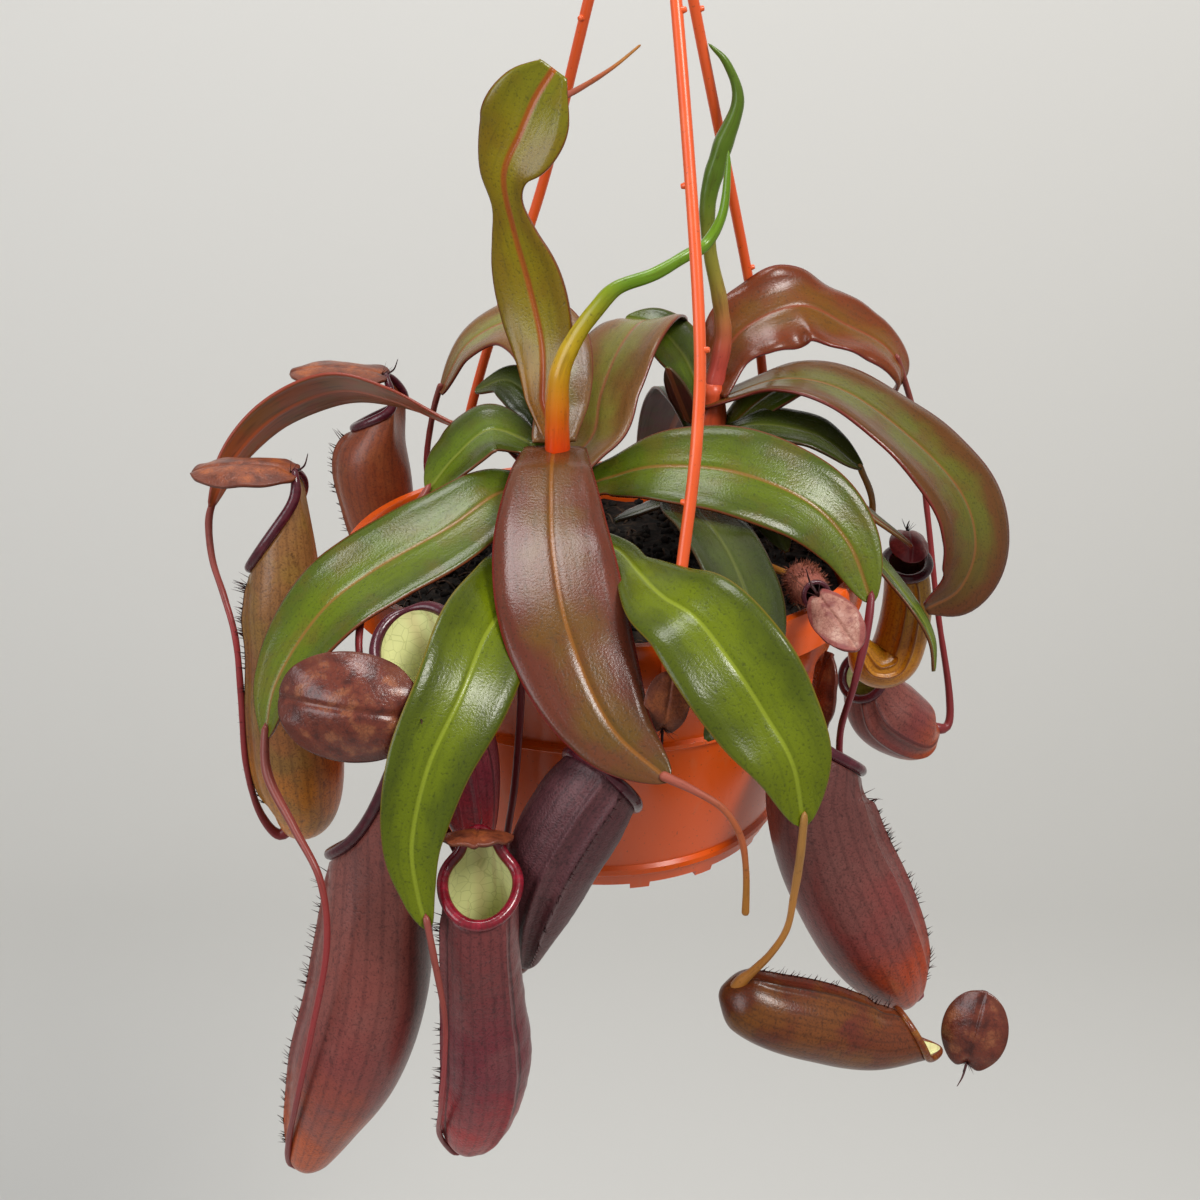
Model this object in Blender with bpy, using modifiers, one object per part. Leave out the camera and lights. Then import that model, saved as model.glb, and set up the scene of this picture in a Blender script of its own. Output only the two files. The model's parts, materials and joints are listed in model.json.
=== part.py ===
"""Hanging pitcher plant: a plastic pot on a three-armed hanger, planted with two shoots
whose strap leaves end in tendrils that carry hollow, lidded pitchers.

Design sizes are in millimetres and MM turns them into metres. Places are given from the
centre of the pot's rim, with +X right, -Y to the front and +Z up. The frame's origin is
the hook's bearing point, which lies over the rim at HOOK_OVER_RIM.
"""

import math
from typing import NamedTuple

import bmesh
import bpy
import numpy as np
from mathutils import Matrix, Vector

MM = 0.001
WELD = 1e-5

# Driving dimensions, millimetres
RIM_RADIUS = 70.0
RIM_BAND = 11.0
POT_HEIGHT = 80.0
FOOT_RADIUS = 47.5
WALL = 1.8
SOIL_DEPTH = 9.0
GAP = 0.4
HUB = (10.0, 5.0, 190.0)
HOOK_OVER_RIM = Vector((10.0, 5.0, 235.0))
HOOK_INSIDE_RADIUS = 9.0
HOOK_ROD = 2.0
ARM_ROD = 1.4
CLIP_WIDTH = 5.2
LEAF_THICKNESS = 1.2
PITCHER_WALL = 0.9
LID_THICKNESS = 1.0
FOOT_SLOTS = 16

TURNING_STEPS = 48
LEAF_ROWS = 10
LEAF_COLUMNS = 4
PITCHER_ROWS = 11
PITCHER_SIDES = 10
LID_CELLS = 4

PLASTIC = ("orange_plastic", (0.58, 0.12, 0.03), 0.25)
PEAT = ("peat", (0.008, 0.006, 0.004), 0.95)
STEM = ("stem", (0.45, 0.10, 0.03), 0.45)
GREEN = ("green_leaf", (0.10, 0.19, 0.02), 0.35)
OLIVE = ("olive_leaf", (0.20, 0.19, 0.02), 0.35)
BROWN = ("brown_leaf", (0.17, 0.08, 0.05), 0.30)
NEW_GREEN = ("new_leaf", (0.28, 0.42, 0.02), 0.40)
TENDRIL = ("tendril", (0.32, 0.06, 0.05), 0.45)
PURPLE = ("purple_pitcher", (0.09, 0.03, 0.04), 0.45)
TAN = ("tan_pitcher", (0.20, 0.10, 0.03), 0.45)
LID = ("pitcher_lid", (0.17, 0.05, 0.03), 0.45)


class Leaf(NamedTuple):
    """A blade: half its width, its evenly spread rolls, its midrib, where it is widest, and
    how far its narrow neck reaches, as shares of its length."""

    half_width: float
    roll: tuple
    points: tuple
    finish: tuple = GREEN
    belly: float = 0.45
    neck: float = 0.0


class Pitcher(NamedTuple):
    """A pitcher from its closed bottom to its mouth, which dips towards its front."""

    front: tuple
    dip: float
    radii: tuple
    points: tuple
    finish: tuple = PURPLE


class Lid(NamedTuple):
    """An oval lid: its centre, the way its top faces, the way it points and its half sizes."""

    centre: tuple
    top: tuple
    ahead: tuple
    half_length: float
    half_width: float
    finish: tuple = LID


LEAVES = {
    "leaf_front_centre": Leaf(15, (0, 0, -5), (
        (-13, -20.5, 34), (-13, -38, 26), (-12, -55, 17), (-8, -72, 4), (1, -85, -12),
        (14, -94, -21)), BROWN),
    "leaf_front_right": Leaf(13, (-10, -28, -35), (
        (-7.5, -18, 9), (-2, -28, 11), (4, -42, 13), (8, -58, 14), (13, -71, 13.5),
        (20, -80, 12), (28, -88, 4), (35, -92, -6), (41, -96, -16), (44, -97, -31)),
        belly=0.68, neck=0.35),
    "leaf_upper_right": Leaf(13, (-15, -28, -30), (
        (-7.6, -14.5, 20), (1, -12, 22), (13, -18, 27), (32, -22, 27), (50, -26, 21),
        (61, -30, 11), (67, -36, -3))),
    "leaf_left": Leaf(13.5, (30, 12, 0), (
        (-17.8, -18, 22), (-27, -28, 23), (-38, -38, 18), (-55, -48, 11), (-67, -58, 4),
        (-77, -66, -10), (-80, -71, -23))),
    "leaf_front_left": Leaf(11.5, (0, 32, 20), (
        (-15, -20.6, 8), (-19, -40, 10), (-22.5, -58, 7.5), (-27.5, -72, 3.5), (-32, -84, -5),
        (-39, -93, -18), (-43, -97, -35), (-42, -99, -48), (-40, -100, -56))),
    "leaf_far_left": Leaf(10.5, (0, -38, -45), (
        (-16.5, -10.5, 26), (-26, 2, 30), (-39, 5, 31), (-56, 6, 38), (-71, 8, 40),
        (-87, 6, 34), (-99, 2, 23), (-105, -4, 11)), BROWN),
    "leaf_standing": Leaf(10, (0, 8, 12, 20, 65, 10), (
        (-16.6, -12, 35), (-15.8, -9, 45), (-15, -6, 56), (-17.5, -4, 70), (-20.5, -4, 84),
        (-23, -6, 98), (-19.5, -8, 109), (-15.5, -9, 117), (-15, -8, 125)), OLIVE, belly=0.75),
    "leaf_back_left": Leaf(11, (0, 10, 30), (
        (-10.6, -10, 35), (-12, 2, 46), (-16, 14, 53), (-25, 23, 55), (-38, 29, 47),
        (-46, 29, 33)), BROWN),
    "leaf_mid_left": Leaf(11, (30, 12, 20), (
        (-17.7, -12, 31), (-29, -12, 35), (-38, -16, 29), (-45, -20, 21))),
    "leaf_centre_back": Leaf(13, (0, 10, 10), (
        (-10, -10.2, 25), (-3, 0, 30), (-1, 10, 38), (4, 20, 48), (10, 30, 53), (16, 42, 50),
        (20, 52, 40)), BROWN),
    "leaf_small_left": Leaf(7, (10, 15, 25), (
        (-13.5, -9.6, 31), (-18, 1, 38), (-26, 10, 42), (-35, 14, 38))),
    "leaf_back_right": Leaf(12, (-15, -28, -30), (
        (30, 24.8, 39), (38, 29, 51), (54, 33, 56), (70, 35, 50), (83, 35, 42)), BROWN),
    "leaf_right_arch": Leaf(15, (-8, -12, -35), (
        (34.6, 19, 36), (49, 12, 42), (64, 6, 40), (81, 0, 29), (94, -6, 16), (99, -12, 4),
        (96, -17, -6)), OLIVE),
    "leaf_right_under": Leaf(9, (-25, -15, -20), (
        (32, 15.2, 26), (41, 6, 31), (56, 0, 30), (68, -4, 22))),
    "leaf_lower_right": Leaf(6, (0, 15, 20), (
        (31, 14.2, 8), (45, 4, 12), (59, -8, 9), (69, -15, 3), (79, -26, -7), (84, -31, -15),
        (85, -34, -23))),
    "leaf_olive_right": Leaf(5, (0, 10, 10), (
        (32.6, 15.5, 17), (48, 4, 19), (64, -4, 14), (73, -6, 8), (82, -9, 2)), OLIVE),
    "leaf_beside_arm": Leaf(10, (0, 10, 0), (
        (26, 13.5, 17), (24, -5, 19), (23, -22, 17), (27, -34, 16), (31, -46, 12),
        (34, -60, 6), (33, -74, 0), (28, -80, -9), (23, -81, -18))),
    "leaf_small_back": Leaf(4.5, (0, 0, 0), ((23.8, 16, 28), (20, 12, 38), (17, 9, 46))),
    "leaf_back_low": Leaf(12, (0, 0, 0), (
        (28, 24.9, 20), (27, 40, 28), (26, 58, 26), (22, 74, 12), (18, 83, -6), (15, 87, -22))),
    "leaf_back_drop": Leaf(12, (0, 0, 5), (
        (-14, -8, 14), (-16, 6, 22), (-16, 26, 28), (-14, 48, 24), (-12, 66, 10), (-10, 76, -8),
        (-8, 81, -26)), OLIVE),
    "leaf_low_centre": Leaf(6, (0, -15, -10), ((24, 14.6, 8), (15, 2, 10), (3, -8, 9)), BROWN),
}

ROLLED_LEAVES = {
    "leaf_rolled": (NEW_GREEN, (3.4, 3.2, 2.7, 2.5, 2.3, 2.2, 2.2, 2.0, 2.0, 1.5, 1.0, 0.7), (
        (-12, -16, 30.6), (-12, -17, 39), (-11, -18, 51), (-7, -18, 60), (-2, -18, 67),
        (3, -17, 72), (12, -15, 75), (20, -12, 79), (25, -8, 81), (29, -6, 88), (30, -5, 98),
        (30, -5, 103))),
    "leaf_back_new": (NEW_GREEN, (2.8, 2.4, 2.1, 1.8, 2.2, 2.6, 1.6, 1.0, 0.6), (
        (29.5, 20, 38.6), (32, 20, 50), (31, 20, 61), (28, 20, 74), (27, 20, 87), (30, 20, 100),
        (34, 20, 112), (31, 20, 121), (26, 20, 126))),
}

STEMS = {
    "stem_front": ((4.4, 4.6, 4.4, 4.0), (
        (-14, -13, -8), (-13, -14, 5), (-12.5, -15.3, 20), (-12, -16, 30))),
    "stem_back": ((4.8, 5.0, 4.4, 3.8), (
        (26, 18, -8), (27, 19, 10), (29, 20, 28), (29.5, 20, 38))),
}

TENDRILS = {
    "tendril_far_left": (0.9, (
        (-105.4, -5.4, 8.6), (-104, -12, 2), (-100, -19, -5), (-95, -25, -13), (-95.4, -27, -30),
        (-95.4, -29, -50), (-95, -27, -66), (-90.5, -25, -79.5))),
    "tendril_left": (1.2, (
        (-80, -72.5, -25), (-77, -79, -35), (-69, -85, -41), (-65, -91, -50), (-65, -93, -67),
        (-71, -94, -92), (-77, -92, -114), (-82, -85, -136), (-84, -76, -150))),
    "tendril_front_left": (0.8, (
        (-39.6, -100.4, -57.6), (-37, -104.5, -66), (-36.5, -105.5, -76), (-37, -104.5, -88),
        (-38.5, -100, -104), (-41, -92, -124), (-40, -84, -136))),
    "tendril_front_right": (0.8, (
        (44, -97.4, -32.4), (43.5, -97.5, -40), (43, -95, -50), (43, -90, -63), (40, -85.5, -77),
        (34, -82, -79.4), (26.5, -81.5, -83))),
    "tendril_upper_right": (1.0, (
        (67.6, -38, -4.6), (64, -42, -14), (62, -46, -25), (61.5, -46, -37), (68, -45, -50),
        (74, -44, -66), (83, -45, -83), (89, -48, -99), (87, -51, -114))),
    "tendril_dry": (0.8, (
        (15.4, -95, -22), (21, -97, -22.4), (26, -98, -26), (30, -98, -33), (31.5, -98, -42),
        (32, -96, -55))),
    "tendril_back_left": (0.9, (
        (-46.6, 29.4, 30.8), (-50, 38, 22), (-53, 50, 6), (-53, 57, -10), (-57, 56, -28),
        (-62, 49, -38))),
    "tendril_inner_left": (0.9, (
        (-45.8, -20.6, 19.4), (-52, -30, 12), (-57, -44, 4), (-58, -56, 1), (-57, -64, -8),
        (-50, -65, -26), (-42, -65, -44), (-35, -67, -60))),
    "tendril_centre": (0.9, (
        (-24, -69, -88), (-27, -63, -76), (-25, -62, -60), (-22, -65, -40), (-20, -68.5, -20),
        (-19, -73, -6))),
    "tendril_coiled": (0.9, (
        (69, -2.6, 20), (73, 5, 8), (71, 4, -10), (68.5, 0.5, -23))),
    "tendril_back_right": (0.9, (
        (82.8, 35.2, 37), (90, 40, 22), (97, 46, -8), (103, 47, -40), (108, 43, -66),
        (109, 39, -80))),
    "tendril_dried": (0.9, ((29, 12.6, 2), (34, -5, 4), (39, -24, 4), (45.6, -37, 5))),
}

PITCHERS = {
    "pitcher_far_left": Pitcher((-1, 0, 0), 1.3, (3, 9.5, 11.8, 11, 10, 10.2, 8.4), (
        (-86, -24, -78), (-82, -25, -68), (-82, -26, -55), (-83, -26, -38), (-83, -24, -22),
        (-83, -22, -5), (-83, -20, 11)), TAN),
    "pitcher_left": Pitcher((-0.9, -0.4, 0), 0.7, (3, 9.4, 14, 14.7, 13, 11), (
        (-80, -73, -150), (-73, -75, -132), (-65, -76, -112), (-58, -75, -88), (-56, -72, -67),
        (-56, -68, -51))),
    "pitcher_inner_left": Pitcher((0.1, -1, 0), 0.6, (3, 7, 8.6, 9.4, 9.4), (
        (-31, -68, -57), (-32, -70, -43), (-34, -72, -26), (-38, -72.5, -12), (-41, -73, 0)), TAN),
    "pitcher_front": Pitcher((0, -1, 0), 0.7, (3, 9, 11.3, 11, 9.8, 8.8), (
        (-36, -84, -134), (-32, -86, -120), (-29, -88, -102), (-29, -90, -83), (-29, -92, -65),
        (-28.5, -92, -49))),
    "pitcher_centre": Pitcher((0.3, 0.9, -0.2), 0.6, (3, 8.3, 10.5, 10.4, 9.0), (
        (-20, -73, -86), (-17, -76, -67), (-12, -79, -50), (-6, -79.5, -38), (-1, -79, -30))),
    "pitcher_right": Pitcher((1, -0.3, 0), 0.6, (3, 11.5, 14, 13.3, 11, 6.5), (
        (81, -53, -113), (74, -54, -98), (66, -54, -82), (58, -52, -65), (54, -49, -50),
        (55, -47, -40))),
    "pitcher_small": Pitcher((0, 0, 1), 0.8, (2.5, 5.6, 8.3, 9.4, 8.6, 6.5), (
        (28, -82, -86.5), (33, -82, -88.5), (41, -82, -92.5), (52, -80, -97.5), (66, -76, -104.5),
        (78, -72, -107.5)), TAN),
    "pitcher_back_left": Pitcher((-0.9, -0.2, 0), 1.0, (3, 8, 10.6, 10.8, 7.5), (
        (-65, 46, -35), (-66, 49, -23), (-68, 51, -8), (-69, 51, 8), (-65, 51, 20)), TAN),
    "pitcher_coiled": Pitcher((0, -1, 0.2), 0.4, (3, 6, 7.4, 7, 6), (
        (70, 0.4, -29), (75, 2, -37.5), (82, 5, -37), (85, 7, -24), (84, 7, -10)), TAN),
    "pitcher_dried": Pitcher((0, 0, 1), 0.2, (2.4, 4.4, 4.2, 3.4), (
        (47, -39, 5.6), (48, -44, 6.2), (49, -50, 6.6), (50, -55, 7)), TAN),
    "pitcher_back_right": Pitcher((-0.3, -0.9, 0), 0.5, (3, 9.5, 11, 7), (
        (105, 38, -79), (97, 36, -77), (86, 33, -68), (79, 31, -56))),
}

LIDS = {
    "lid_far_left": Lid((-90, -22, 27), (0, -0.05, 1), (-1, 0, 0.04), 14, 10),
    "lid_left": Lid((-57, -84, -8), (-0.15, -0.9, 0.35), (-1, 0.05, 0), 16, 12.5),
    "lid_inner_left": Lid((-58, -76.5, -5), (0, -0.3, 1), (-1, 0, 0), 8, 5),
    "lid_front": Lid((-29, -91, -37.5), (0, 0.39, 0.92), (0, -0.92, 0.39), 9, 8.4),
    "lid_centre": Lid((14, -80, -9), (0.2, -0.95, 0.2), (0.2, 0, 1), 7.5, 5.5),
    "lid_right": Lid((55, -42, -25), (-0.95, -0.25, 0.1), (0.1, 0, 1), 11, 7),
    "lid_small": Lid((95, -70, -108), (-0.35, -0.85, 0.25), (0.15, 0.1, 1), 11, 8.4),
    "lid_back_left": Lid((-77, 51, 33), (0.05, -0.1, 1), (-1, 0, 0), 15, 10),
    "lid_dried": Lid((53, -67, 6), (-0.3, -0.5, 0.8), (0.35, -0.8, -0.3), 10, 5.5, TAN),
}

ARMS = {
    "front": (-77.4, ((15.2, -68.2, 1.2), (18, -61, 19), (21, -54, 47), (21, -45, 75),
                      (16, -20, 137), HUB)),
    "right": (45.5, ((48.1, 49.0, 1.2), (47, 47, 26), (41, 42, 60), (22, 18, 136), HUB)),
    "left": (131.0, ((-45.0, 51.8, 1.2), (-34, 45, 40), (-17, 34, 88), (-4, 16, 136), HUB)),
}


def from_rim(point):
    """Turns a place given from the rim's centre, in millimetres, into the frame's metres."""
    return (Vector(point) - HOOK_OVER_RIM) * MM


def catmull_rom(before, start, end, after, t):
    """Returns the place at t, 0 to 1, on the smooth stretch between start and end."""
    straight = 2 * start + (end - before) * t
    bend = (2 * before - 5 * start + 4 * end - after) * t ** 2
    return 0.5 * (straight + bend + (3 * start - before - 3 * end + after) * t ** 3)


class Spine:
    """A smooth curve through points, with a sideways direction that never spins about it."""

    SAMPLES = 60

    def __init__(self, points):
        knots = [from_rim(point) for point in points]
        chords = [0.0] + [(b - a).length for a, b in zip(knots, knots[1:])]
        self.knots = np.cumsum(chords) / sum(chords)
        line = [2 * knots[0] - knots[1]] + knots + [2 * knots[-1] - knots[-2]]
        self.places = []
        for t in np.linspace(0, 1, self.SAMPLES + 1):
            i = min(int(np.searchsorted(self.knots, t, side="right")) - 1, len(knots) - 2)
            local = (t - self.knots[i]) / (self.knots[i + 1] - self.knots[i])
            self.places.append(catmull_rom(*line[i:i + 4], float(local)))
        self.tangents = self.find_tangents()
        self.sides = self.find_sides()

    def find_tangents(self):
        last = self.SAMPLES
        return [(self.places[min(i + 1, last)] - self.places[max(i - 1, 0)]).normalized()
                for i in range(last + 1)]

    def find_sides(self):
        side = self.tangents[0].cross(Vector((0, 0, 1)))
        if side.length < 0.2:
            side = Vector((1, 0, 0))
        sides = []
        for tangent in self.tangents:
            side = (side - tangent * side.dot(tangent)).normalized()
            sides.append(side)
        return sides

    def at(self, t):
        """Returns the place, tangent, side and upward direction at t, 0 to 1."""
        scaled = min(max(t, 0.0), 1.0) * self.SAMPLES
        i = min(int(scaled), self.SAMPLES - 1)
        part = scaled - i
        place = self.places[i].lerp(self.places[i + 1], part)
        tangent = self.tangents[i].lerp(self.tangents[i + 1], part).normalized()
        side = self.sides[i].lerp(self.sides[i + 1], part).normalized()
        return place, tangent, side, side.cross(tangent)

    def blend(self, values, t):
        """Returns the value at t of values that are given one to each point."""
        return float(np.interp(t, self.knots, values))


def empty_scene():
    """Removes every object that the scene starts with."""
    for thing in list(bpy.data.objects):
        bpy.data.objects.remove(thing, do_unlink=True)


def new_collection(name):
    """Adds a collection to the scene."""
    collection = bpy.data.collections.new(name)
    bpy.context.scene.collection.children.link(collection)
    return collection


def material(name, colour, roughness):
    """Returns the named Principled material, made on first use."""
    made = bpy.data.materials.get(name)
    if made is None:
        made = bpy.data.materials.new(name)
        made.use_nodes = True
        surface = made.node_tree.nodes["Principled BSDF"]
        surface.inputs["Base Color"].default_value = (*colour, 1.0)
        surface.inputs["Roughness"].default_value = roughness
        surface.inputs["Metallic"].default_value = 0.0
    return made


def add_mesh_object(name, bm, finish, collection):
    """Turns a bmesh into a smooth-shaded object and frees the bmesh."""
    mesh = bpy.data.meshes.new(name)
    bm.to_mesh(mesh)
    bm.free()
    mesh.shade_smooth()
    mesh.materials.append(material(*finish))
    made = bpy.data.objects.new(name, mesh)
    collection.objects.link(made)
    return made


def solidify(made, thickness, offset):
    """Gives an open surface its thickness."""
    shell = made.modifiers.new("thickness", "SOLIDIFY")
    shell.thickness = thickness * MM
    shell.offset = offset
    shell.use_rim = True


def turned(name, profile, finish, collection):
    """Turns a profile of radius and height, run down its outer side, about the pot's axis."""
    bm = bmesh.new()
    rim = from_rim((0, 0, 0))
    points = [bm.verts.new((radius * MM, 0, height * MM)) for radius, height in profile]
    for a, b in zip(points, points[1:]):
        bm.edges.new((a, b))
    made = add_mesh_object(name, bm, finish, collection)
    made.location = rim
    screw = made.modifiers.new("turn", "SCREW")
    screw.steps = TURNING_STEPS
    screw.render_steps = TURNING_STEPS
    screw.use_merge_vertices = True
    screw.merge_threshold = WELD
    return made


def inner_wall(height):
    """Returns the radius of the pot's inside at a height."""
    heights = (-POT_HEIGHT + 4, -32.5, -12.5, -1.0)
    return float(np.interp(height, heights, (FOOT_RADIUS - 3, 57.8, 64.4, 66.5)))


def make_pot(collection, cutters):
    """Makes the pot: a rolled rim band, a tapered wall with a ring, and a slotted foot."""
    floor = -POT_HEIGHT + 4
    inside = [(0, floor)] + [(inner_wall(z), z) for z in (floor, -32.5, -12.5, -1.0)]
    rim = [(67.4, 0), (RIM_RADIUS, 0), (RIM_RADIUS + 0.4, -RIM_BAND / 2), (RIM_RADIUS, -RIM_BAND),
           (67.6, -RIM_BAND)]
    wall = [(inner_wall(-12.5) + WALL, -12.5), (59.8, -31.5), (60.2, -32.5), (59.4, -34)]
    foot = [(49.0, -73), (50.0, -74.2), (49.4, -76), (FOOT_RADIUS, -POT_HEIGHT),
            (FOOT_RADIUS - 3.5, -POT_HEIGHT), (FOOT_RADIUS - 4.5, -POT_HEIGHT + 2),
            (0, -POT_HEIGHT + 2)]
    pot = turned("pot", inside + rim + wall + foot, PLASTIC, collection)
    slots = make_foot_slots(cutters)
    cut = pot.modifiers.new("foot_slots", "BOOLEAN")
    cut.operation = "DIFFERENCE"
    cut.object = slots


def make_foot_slots(cutters):
    """Makes the ring of blocks that cuts the drain slots through the foot."""
    bm = bmesh.new()
    spacing = math.tau / FOOT_SLOTS
    width = spacing * FOOT_RADIUS * 0.72
    for i in range(FOOT_SLOTS):
        size = Matrix.Diagonal((8 * MM, width * MM, 3.4 * MM, 1))
        place = Matrix.Translation(from_rim((0, 0, -POT_HEIGHT)))
        out = Matrix.Translation((FOOT_RADIUS * MM, 0, 0))
        bmesh.ops.create_cube(bm, size=1, matrix=place @ Matrix.Rotation(i * spacing, 4, "Z") @ out @ size)
    return as_cutter(add_mesh_object("foot_slots", bm, PLASTIC, cutters))


def as_cutter(made):
    """Marks an object as a cutter or a tool piece, which isn't part of the model."""
    made.hide_render = True
    made.display_type = "WIRE"
    return made


def make_soil(collection):
    """Makes the peat that fills the pot, with a low crown."""
    floor = -POT_HEIGHT + 4 + GAP
    levels = (-SOIL_DEPTH - 2, -12.5, -32.5, floor)
    crown = [(0, -SOIL_DEPTH), (40, -SOIL_DEPTH - 0.6)]
    side = [(inner_wall(z) - GAP, z) for z in levels]
    turned("soil", crown + side + [(0, floor)], PEAT, collection)


def make_tube(name, points, radii, finish, collection, steps, resolution):
    """Makes a capped tube whose radius follows the radii given at its points."""
    spine = Spine(points)
    widest = max(radii)
    curve = bpy.data.curves.new(name, "CURVE")
    curve.dimensions = "3D"
    curve.bevel_depth = widest * MM
    curve.bevel_resolution = resolution
    curve.use_fill_caps = True
    curve.render_resolution_u = 0
    line = curve.splines.new("POLY")
    line.points.add(steps)
    for i, point in enumerate(line.points):
        t = i / steps
        point.co = (*spine.at(t)[0], 1)
        point.radius = spine.blend(radii, t) / widest
    curve.materials.append(material(*finish))
    made = bpy.data.objects.new(name, curve)
    collection.objects.link(made)
    return made


def to_welded_mesh(curve_object, collection):
    """Replaces a curve object by a mesh whose caps are welded on."""
    evaluated = curve_object.evaluated_get(bpy.context.evaluated_depsgraph_get())
    mesh = bpy.data.meshes.new_from_object(evaluated)
    bm = bmesh.new()
    bm.from_mesh(mesh)
    bmesh.ops.remove_doubles(bm, verts=bm.verts, dist=WELD)
    bm.to_mesh(mesh)
    bm.free()
    name = curve_object.name
    made = bpy.data.objects.new(name + "_solid", mesh)
    made.matrix_world = curve_object.matrix_world
    collection.objects.link(made)
    bpy.data.objects.remove(curve_object, do_unlink=True)
    return made


def make_clip(name, azimuth, collection):
    """Makes the U-shaped clip that hooks over the rim at an azimuth."""
    outside = RIM_RADIUS + 0.8
    inside = 64.9
    outline = ((outside, -RIM_BAND), (outside + 1.4, -RIM_BAND), (outside + 1.4, 2.2),
               (inside - 1.3, 2.2), (inside - 1.3, -7), (inside, -7), (inside, 0.5),
               (outside, 0.5))
    curve = bpy.data.curves.new(name, "CURVE")
    curve.dimensions = "2D"
    curve.fill_mode = "BOTH"
    curve.extrude = CLIP_WIDTH / 2 * MM
    line = curve.splines.new("POLY")
    line.points.add(len(outline) - 1)
    for point, (radius, height) in zip(line.points, outline):
        point.co = (radius * MM, height * MM, 0, 1)
    line.use_cyclic_u = True
    made = bpy.data.objects.new(name, curve)
    turn = Matrix.Rotation(math.radians(azimuth), 4, "Z") @ Matrix.Rotation(math.pi / 2, 4, "X")
    made.matrix_world = Matrix.Translation(from_rim((0, 0, 0))) @ turn
    collection.objects.link(made)
    bpy.context.view_layer.update()
    return to_welded_mesh(made, collection)


def hook_points():
    """Returns the hook's centreline: a cranked shank and an arc over the bearing point."""
    x, y, top = HOOK_OVER_RIM
    bend = HOOK_INSIDE_RADIUS + HOOK_ROD
    centre = top - HOOK_INSIDE_RADIUS
    shank = [(x, y, HUB[2] + 2), (x - 1, y, HUB[2] + 10), (x - bend + 1, y, centre - 10)]
    arc = [(x - bend * math.cos(a), y, centre + bend * math.sin(a))
           for a in np.linspace(0, math.radians(205), 9)]
    return shank + arc


def make_hanger(collection, cutters):
    """Makes the hanger: a hub with a hook on top and three rods down to clips on the rim."""
    bm = bmesh.new()
    place = Matrix.Translation(from_rim(HUB))
    bmesh.ops.create_cone(bm, cap_ends=True, segments=20, radius1=5.2 * MM, radius2=3.4 * MM,
                          depth=9 * MM, matrix=place)
    hanger = add_mesh_object("hanger", bm, PLASTIC, collection)
    hook = make_tube("hook", hook_points(), (HOOK_ROD,) * 12, PLASTIC, cutters, 26, 2)
    pieces = [to_welded_mesh(hook, cutters)]
    for name, (azimuth, points) in ARMS.items():
        rod = make_tube("arm_" + name, points, (ARM_ROD,) * len(points), PLASTIC, cutters, 16, 2)
        pieces.append(to_welded_mesh(rod, cutters))
        pieces.append(make_clip("clip_" + name, azimuth, cutters))
    for piece in pieces:
        join = hanger.modifiers.new("join_" + piece.name, "BOOLEAN")
        join.operation = "UNION"
        join.object = as_cutter(piece)


def blade_width(t, neck, belly):
    """Returns a blade's share of its full width at t: a petiole, a belly and a point."""
    petiole, point = 0.22, 0.07
    if t < belly:
        rise = max(0.0, (t - neck) / (belly - neck))
        return petiole + (1 - petiole) * math.sin(math.pi / 2 * rise)
    return point + (1 - point) * math.cos(math.pi / 2 * (t - belly) / (1 - belly)) ** 0.7


def make_leaf(name, leaf, collection):
    """Makes a blade by bending a flat grid along its midrib."""
    spine = Spine(leaf.points)
    bm = bmesh.new()
    bmesh.ops.create_grid(bm, x_segments=LEAF_ROWS, y_segments=LEAF_COLUMNS, size=1)
    for vert in bm.verts:
        t = (vert.co.x + 1) / 2
        across = vert.co.y
        place, tangent, side, up = spine.at(t)
        roll = math.radians(float(np.interp(t, np.linspace(0, 1, len(leaf.roll)), leaf.roll)))
        side, up = (side * math.cos(roll) + up * math.sin(roll),
                    up * math.cos(roll) - side * math.sin(roll))
        half = leaf.half_width * blade_width(t, leaf.neck, leaf.belly) * MM
        vert.co = place + side * across * half + up * 0.12 * half * across ** 2
    made = add_mesh_object(name, bm, leaf.finish, collection)
    solidify(made, LEAF_THICKNESS, 0)


def mouth_dip(t):
    """Returns how far a pitcher's rings have leaned into the mouth's slope at t."""
    start = 0.62
    share = max(0.0, (t - start) / (1 - start))
    return share * share * (3 - 2 * share)


def make_pitcher(name, pitcher, collection):
    """Makes a hollow pitcher by wrapping a grid round its spine and giving it a wall."""
    spine = Spine(pitcher.points)
    front = Vector(pitcher.front).normalized()
    bm = bmesh.new()
    bmesh.ops.create_grid(bm, x_segments=PITCHER_ROWS, y_segments=PITCHER_SIDES, size=1)
    for vert in bm.verts:
        t = ((vert.co.x + 1) / 2) ** 1.15
        angle = vert.co.y * math.pi
        place, tangent, side, up = spine.at(t)
        out = side * math.cos(angle) + up * math.sin(angle)
        radius = spine.blend(pitcher.radii, t) * MM if vert.co.x > -0.999 else 0.0
        slide = -pitcher.dip * out.dot(front) * mouth_dip(t) * radius
        vert.co = place + out * radius + tangent * slide
    bmesh.ops.remove_doubles(bm, verts=bm.verts, dist=WELD)
    bmesh.ops.recalc_face_normals(bm, faces=bm.faces)
    made = add_mesh_object(name, bm, pitcher.finish, collection)
    solidify(made, PITCHER_WALL, -1)


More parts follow.
